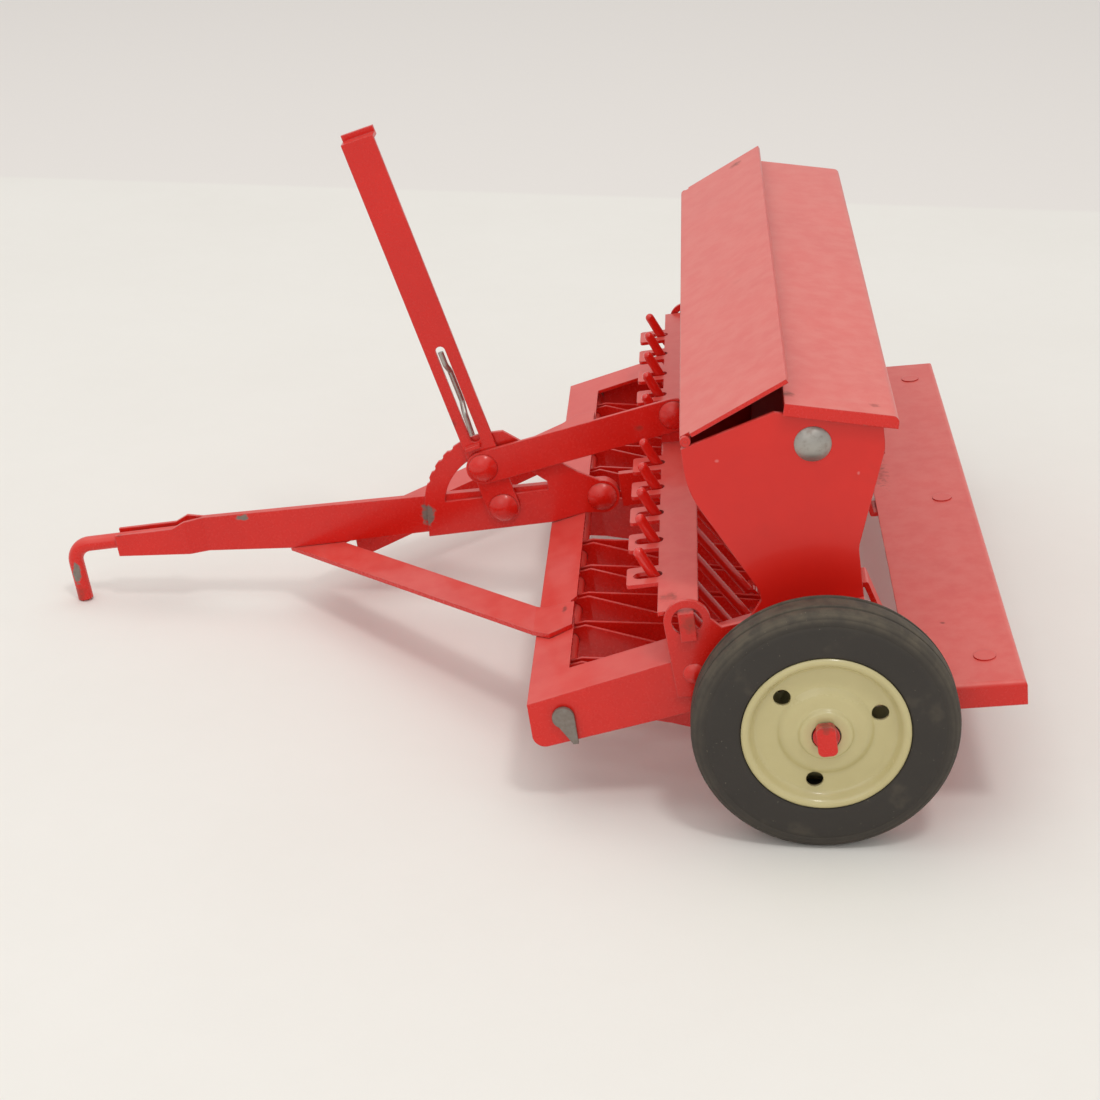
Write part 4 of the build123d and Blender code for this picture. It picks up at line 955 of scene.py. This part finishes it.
@dataclass
class LiftGear(SubAssembly):
    """The hand lever and its latch wire, the link, the rocking rail and ten rods."""

    rods: int = 10
    title = "lift gear"

    def build(self) -> None:
        """Finishes the lift gear."""
        lever = (
            Mark(MarkKind.CHIP, "lever", (0.245, 0.8, 0.155), (1.2, 2.0, 3.6)),
            Mark(MarkKind.SCUFF, "lever", (0.93, 0.8, 0.985), (4.0, 4.0, 1.3)),
            Mark(MarkKind.GRIME, "lever", (0.40, 0.8, 0.26), (1.6, 2.5, 2.4)),
        )
        self.dress(["lever", "link_rivet"], red_enamel("lever", lever, wear=0.8, dustiness=0.2))
        self.dress(["latch_wire"], BareSteel("latch_steel", staining=0.35).material())
        link = (
            Mark(MarkKind.RUST, "link", (0.23, 0.9, 0.67), (1.7, 2.0, 1.1)),
            Mark(MarkKind.GRIME, "link", (0.05, 0.9, 0.9), (2.0, 2.0, 3.0)),
        )
        self.dress(["link", "lug_rivet"], red_enamel("link", link, dustiness=0.2))
        rail = (
            Mark(MarkKind.RUST, "lift_rail", (0.35, 0.92, 0.62), (3.5, 3.6, 2.6)),
            Mark(MarkKind.RUST, "lift_rail", (0.40, 0.955, 0.36), (3.0, 3.0, 2.4)),
            Mark(MarkKind.RUST, "lift_rail", (0.11, 0.998, 0.25), (3.0, 2.6, 3.0)),
            Mark(MarkKind.RUST, "lift_rail", (0.11, 0.002, 0.25), (3.0, 2.6, 3.0)),
        )
        self.dress(["lift_rail"], red_enamel("lift_rail", rail, dustiness=0.4, dirt=0.8))
        glossy = red_enamel("lift_rods", gloss=0.14, coat=0.6, dustiness=0.12, dirt=0.5, wear=0.25)
        self.dress([f"lift_rod_{k}" for k in range(1, self.rods + 1)], glossy)


@dataclass
class OpenerRow(SubAssembly):
    """Ten folded furrow openers on the front rod."""

    openers: int = 10
    title = "opener row"

    def build(self) -> None:
        """Finishes the openers."""
        paint = red_enamel("openers", dustiness=0.2, dirt=0.8, wear=0.6)
        self.dress([f"opener_{k}" for k in range(1, self.openers + 1)], paint)


@dataclass
class Hopper(SubAssembly):
    """The seed box, its end plates and rivets, and the two lids on their hinge rods."""

    # Dust on the lids, with painted sheen on their upper faces.
    lid_dust_and_sheen: float = 0.62
    title = "hopper"

    def build(self) -> None:
        """Finishes the hopper."""
        ends = (
            Mark(MarkKind.SCUFF, "left_end_plate", (0.82, 1.0, 0.78), (0.7, 2.0, 0.5)),
            Mark(MarkKind.SCUFF, "left_end_plate", (0.14, 1.0, 0.74), (0.4, 2.0, 0.6)),
            Mark(MarkKind.RUST, "hopper_end_rivets", (0.5, 0.99, 0.5), (4.2, 1.5, 4.2)),
        )
        names = ["left_end_plate", "right_end_plate"]
        self.dress(names, red_enamel("hopper_ends", ends, dustiness=0.22, dirt=0.6, gloss=0.3))
        self.dress(["hopper_body"], red_enamel("hopper_body", dustiness=0.3, dirt=0.9))
        front = (
            Mark(MarkKind.RUST, "front_lid", (0.30, 0.03, 0.72), (2.6, 3.0, 2.6)),
            Mark(MarkKind.SCUFF, "front_lid", (0.55, 0.60, 0.50), (1.6, 0.4, 0.9)),
            Mark(MarkKind.GRIME, "front_lid", (0.97, 0.70, 0.05), (1.0, 12.0, 0.9)),
        )
        self.dress(["front_lid"], red_enamel("front_lid", front, dustiness=self.lid_dust_and_sheen, dirt=0.6))
        rear = (
            Mark(MarkKind.RUST, "rear_lid", (0.95, 0.97, 0.95), (2.0, 2.6, 2.0)),
            Mark(MarkKind.RUST, "rear_lid", (0.20, 0.975, 0.55), (1.6, 1.6, 2.6)),
        )
        self.dress(["rear_lid"], red_enamel("rear_lid", rear, dustiness=self.lid_dust_and_sheen, dirt=0.5))
        self.dress(["hopper_end_rivets"], BareSteel("rivet_steel", staining=0.6).material())
        self.dress(["front_hinge_rod", "rear_hinge_rod"], red_enamel("hinge_rods", dirt=0.8))


@dataclass
class Footboard(SubAssembly):
    """The flanged board behind the hopper, its straps and flush rivets."""

    dustiness: float = 0.5
    title = "footboard"

    def build(self) -> None:
        """Finishes the footboard."""
        marks = [
            Mark(MarkKind.GRIME, "footboard", (0.80, 0.875, 0.9), (0.7, 0.7, 3.0)),
            Mark(MarkKind.GRIME, "footboard", (0.62, 0.85, 0.9), (0.8, 0.8, 3.0)),
            Mark(MarkKind.RUST, "footboard", (0.75, 0.05, 0.9), (5.0, 7.0, 3.0)),
            Mark(MarkKind.RUST, "footboard", (0.90, 0.40, 0.9), (3.0, 16.0, 3.0)),
        ]
        self.dress(["footboard"], red_enamel("footboard", marks, dustiness=self.dustiness, dirt=0.6))
        self.dress(["footboard_rivets", "footboard_straps"], red_enamel("straps", dustiness=0.45, dirt=0.9))


# ---------------------------------------------------------------- studio


@dataclass
class Studio:
    """A pale cloth floor, soft light and the camera."""

    lens: float = 71.35
    camera_from_axle: Triple = (0.0374, 0.54695, 0.2397)
    looking: Triple = (0.0514, -0.9074, -0.4171)
    cloth_edge: float = -0.4292
    edge_slope: float = 0.061
    sky: float = 0.72
    key_power: float = 3.8
    glint_power: float = 4.0
    reach: float = 4.0

    WARM = (1.0, 0.985, 0.96)
    CLOTH_LOW = (0.80, 0.78, 0.74)
    CLOTH_HIGH = (0.85, 0.835, 0.80)
    BEHIND = (0.80, 0.77, 0.745)
    FLOOR_DROP = 0.0001
    EDGE_FADE = (-0.006, 0.001)

    def _floor(self) -> None:
        """Lays the floor and its cloth."""
        data = bpy.data.meshes.new("floor")
        signs = ((-1, -1), (1, -1), (1, 1), (-1, 1))
        corners = [(x * self.reach, y * self.reach, -self.FLOOR_DROP) for x, y in signs]
        data.from_pydata(corners, [], [(0, 1, 2, 3)])
        floor = bpy.data.objects.new("floor", data)
        bpy.context.scene.collection.objects.link(floor)
        bench = PaintBench("pale_cloth")
        soft = bench.noise(Pattern.CLOTH_SWELL)
        thread = bench.noise(Pattern.CLOTH_THREAD)
        crumb = bench.noise(Pattern.CLOTH_CRUMB)
        colour = bench.mix((soft * 0.7 + crumb * 0.3).clamped(), self.CLOTH_LOW, self.CLOTH_HIGH)
        depth = bench.part_of(bench.place, 1) + bench.part_of(bench.place, 0) * self.edge_slope
        behind = 1.0 - depth.rise(*(self.cloth_edge + fade for fade in self.EDGE_FADE))
        colour = bench.mix(behind, colour, self.BEHIND)
        height = soft * 0.6 + thread * 0.02 + crumb * 0.06
        floor.data.materials.append(bench.finish(colour, 0.85, height=height, specular=0.2))

    def _lamp(self, name: str, place: Triple, aim: Triple, size: float, power: float, tint: Colour) -> None:
        """Hangs one soft lamp.

        Args:
            name: the lamp's name.
            place: where it hangs in metres.
            aim: the point that it faces.
            size: its side in metres.
            power: its power in watts.
            tint: its colour.
        """
        data = bpy.data.lights.new(name, "AREA")
        data.size = size
        data.energy = power
        data.color = tint
        lamp = bpy.data.objects.new(name, data)
        lamp.location = place
        lamp.rotation_mode = "QUATERNION"
        lamp.rotation_quaternion = (Vector(aim) - Vector(place)).to_track_quat("-Z", "Y")
        bpy.context.scene.collection.objects.link(lamp)

    def _camera(self) -> None:
        """Sets the camera from the left wheel's axle."""
        wheel = next(j for j in frame["joints"] if j["name"] == "left_wheel_spin")
        axle = Vector((wheel["pos_m"][0], 0.0, wheel["pos_m"][2]))
        data = bpy.data.cameras.new("camera")
        data.sensor_width = 36.0
        data.lens = self.lens
        data.clip_start = 0.01
        camera = bpy.data.objects.new("camera", data)
        camera.location = axle + Vector(self.camera_from_axle)
        camera.rotation_mode = "QUATERNION"
        camera.rotation_quaternion = Vector(self.looking).to_track_quat("-Z", "Y")
        bpy.context.scene.collection.objects.link(camera)
        bpy.context.scene.camera = camera

    def build(self) -> None:
        """Sets up the whole studio."""
        scene = bpy.context.scene
        scene.view_settings.view_transform = "Standard"
        world = bpy.data.worlds.new("room")
        world.use_nodes = True
        sky = world.node_tree.nodes["Background"]
        sky.inputs[0].default_value = (*self.WARM, 1.0)
        sky.inputs[1].default_value = self.sky
        scene.world = world
        self._floor()
        middle = (0.0, 0.0, 0.05)
        self._lamp("overhead", (0.25, -0.1, 1.3), (0.0, 0.0, 0.0), 1.3, self.key_power, self.WARM)
        self._lamp("front", (0.5, 1.2, 0.9), middle, 0.9, self.key_power * 0.5, self.WARM)
        self._lamp("glint", (-0.3, 0.7, 1.4), middle, 0.22, self.glint_power, self.WARM)
        self._camera()
        LOG.info("studio: floor, light and camera set")


# ---------------------------------------------------------------- making it


def lay_out() -> None:
    """Builds every sub-assembly in order, then the studio."""
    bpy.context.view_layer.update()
    for assembly in (
        Chassis(),
        Drawbar(),
        LiftGear(),
        OpenerRow(),
        Hopper(),
        Footboard(),
        Wheel(Side.LEFT),
        Wheel(Side.RIGHT),
    ):
        assembly.build()
        LOG.info("%s done", assembly.title)
    Studio().build()


def main() -> None:
    """Starts the log and makes the scene."""
    logging.basicConfig(level=logging.INFO, format="%(message)s")
    lay_out()


if __name__ == "__main__":
    main()
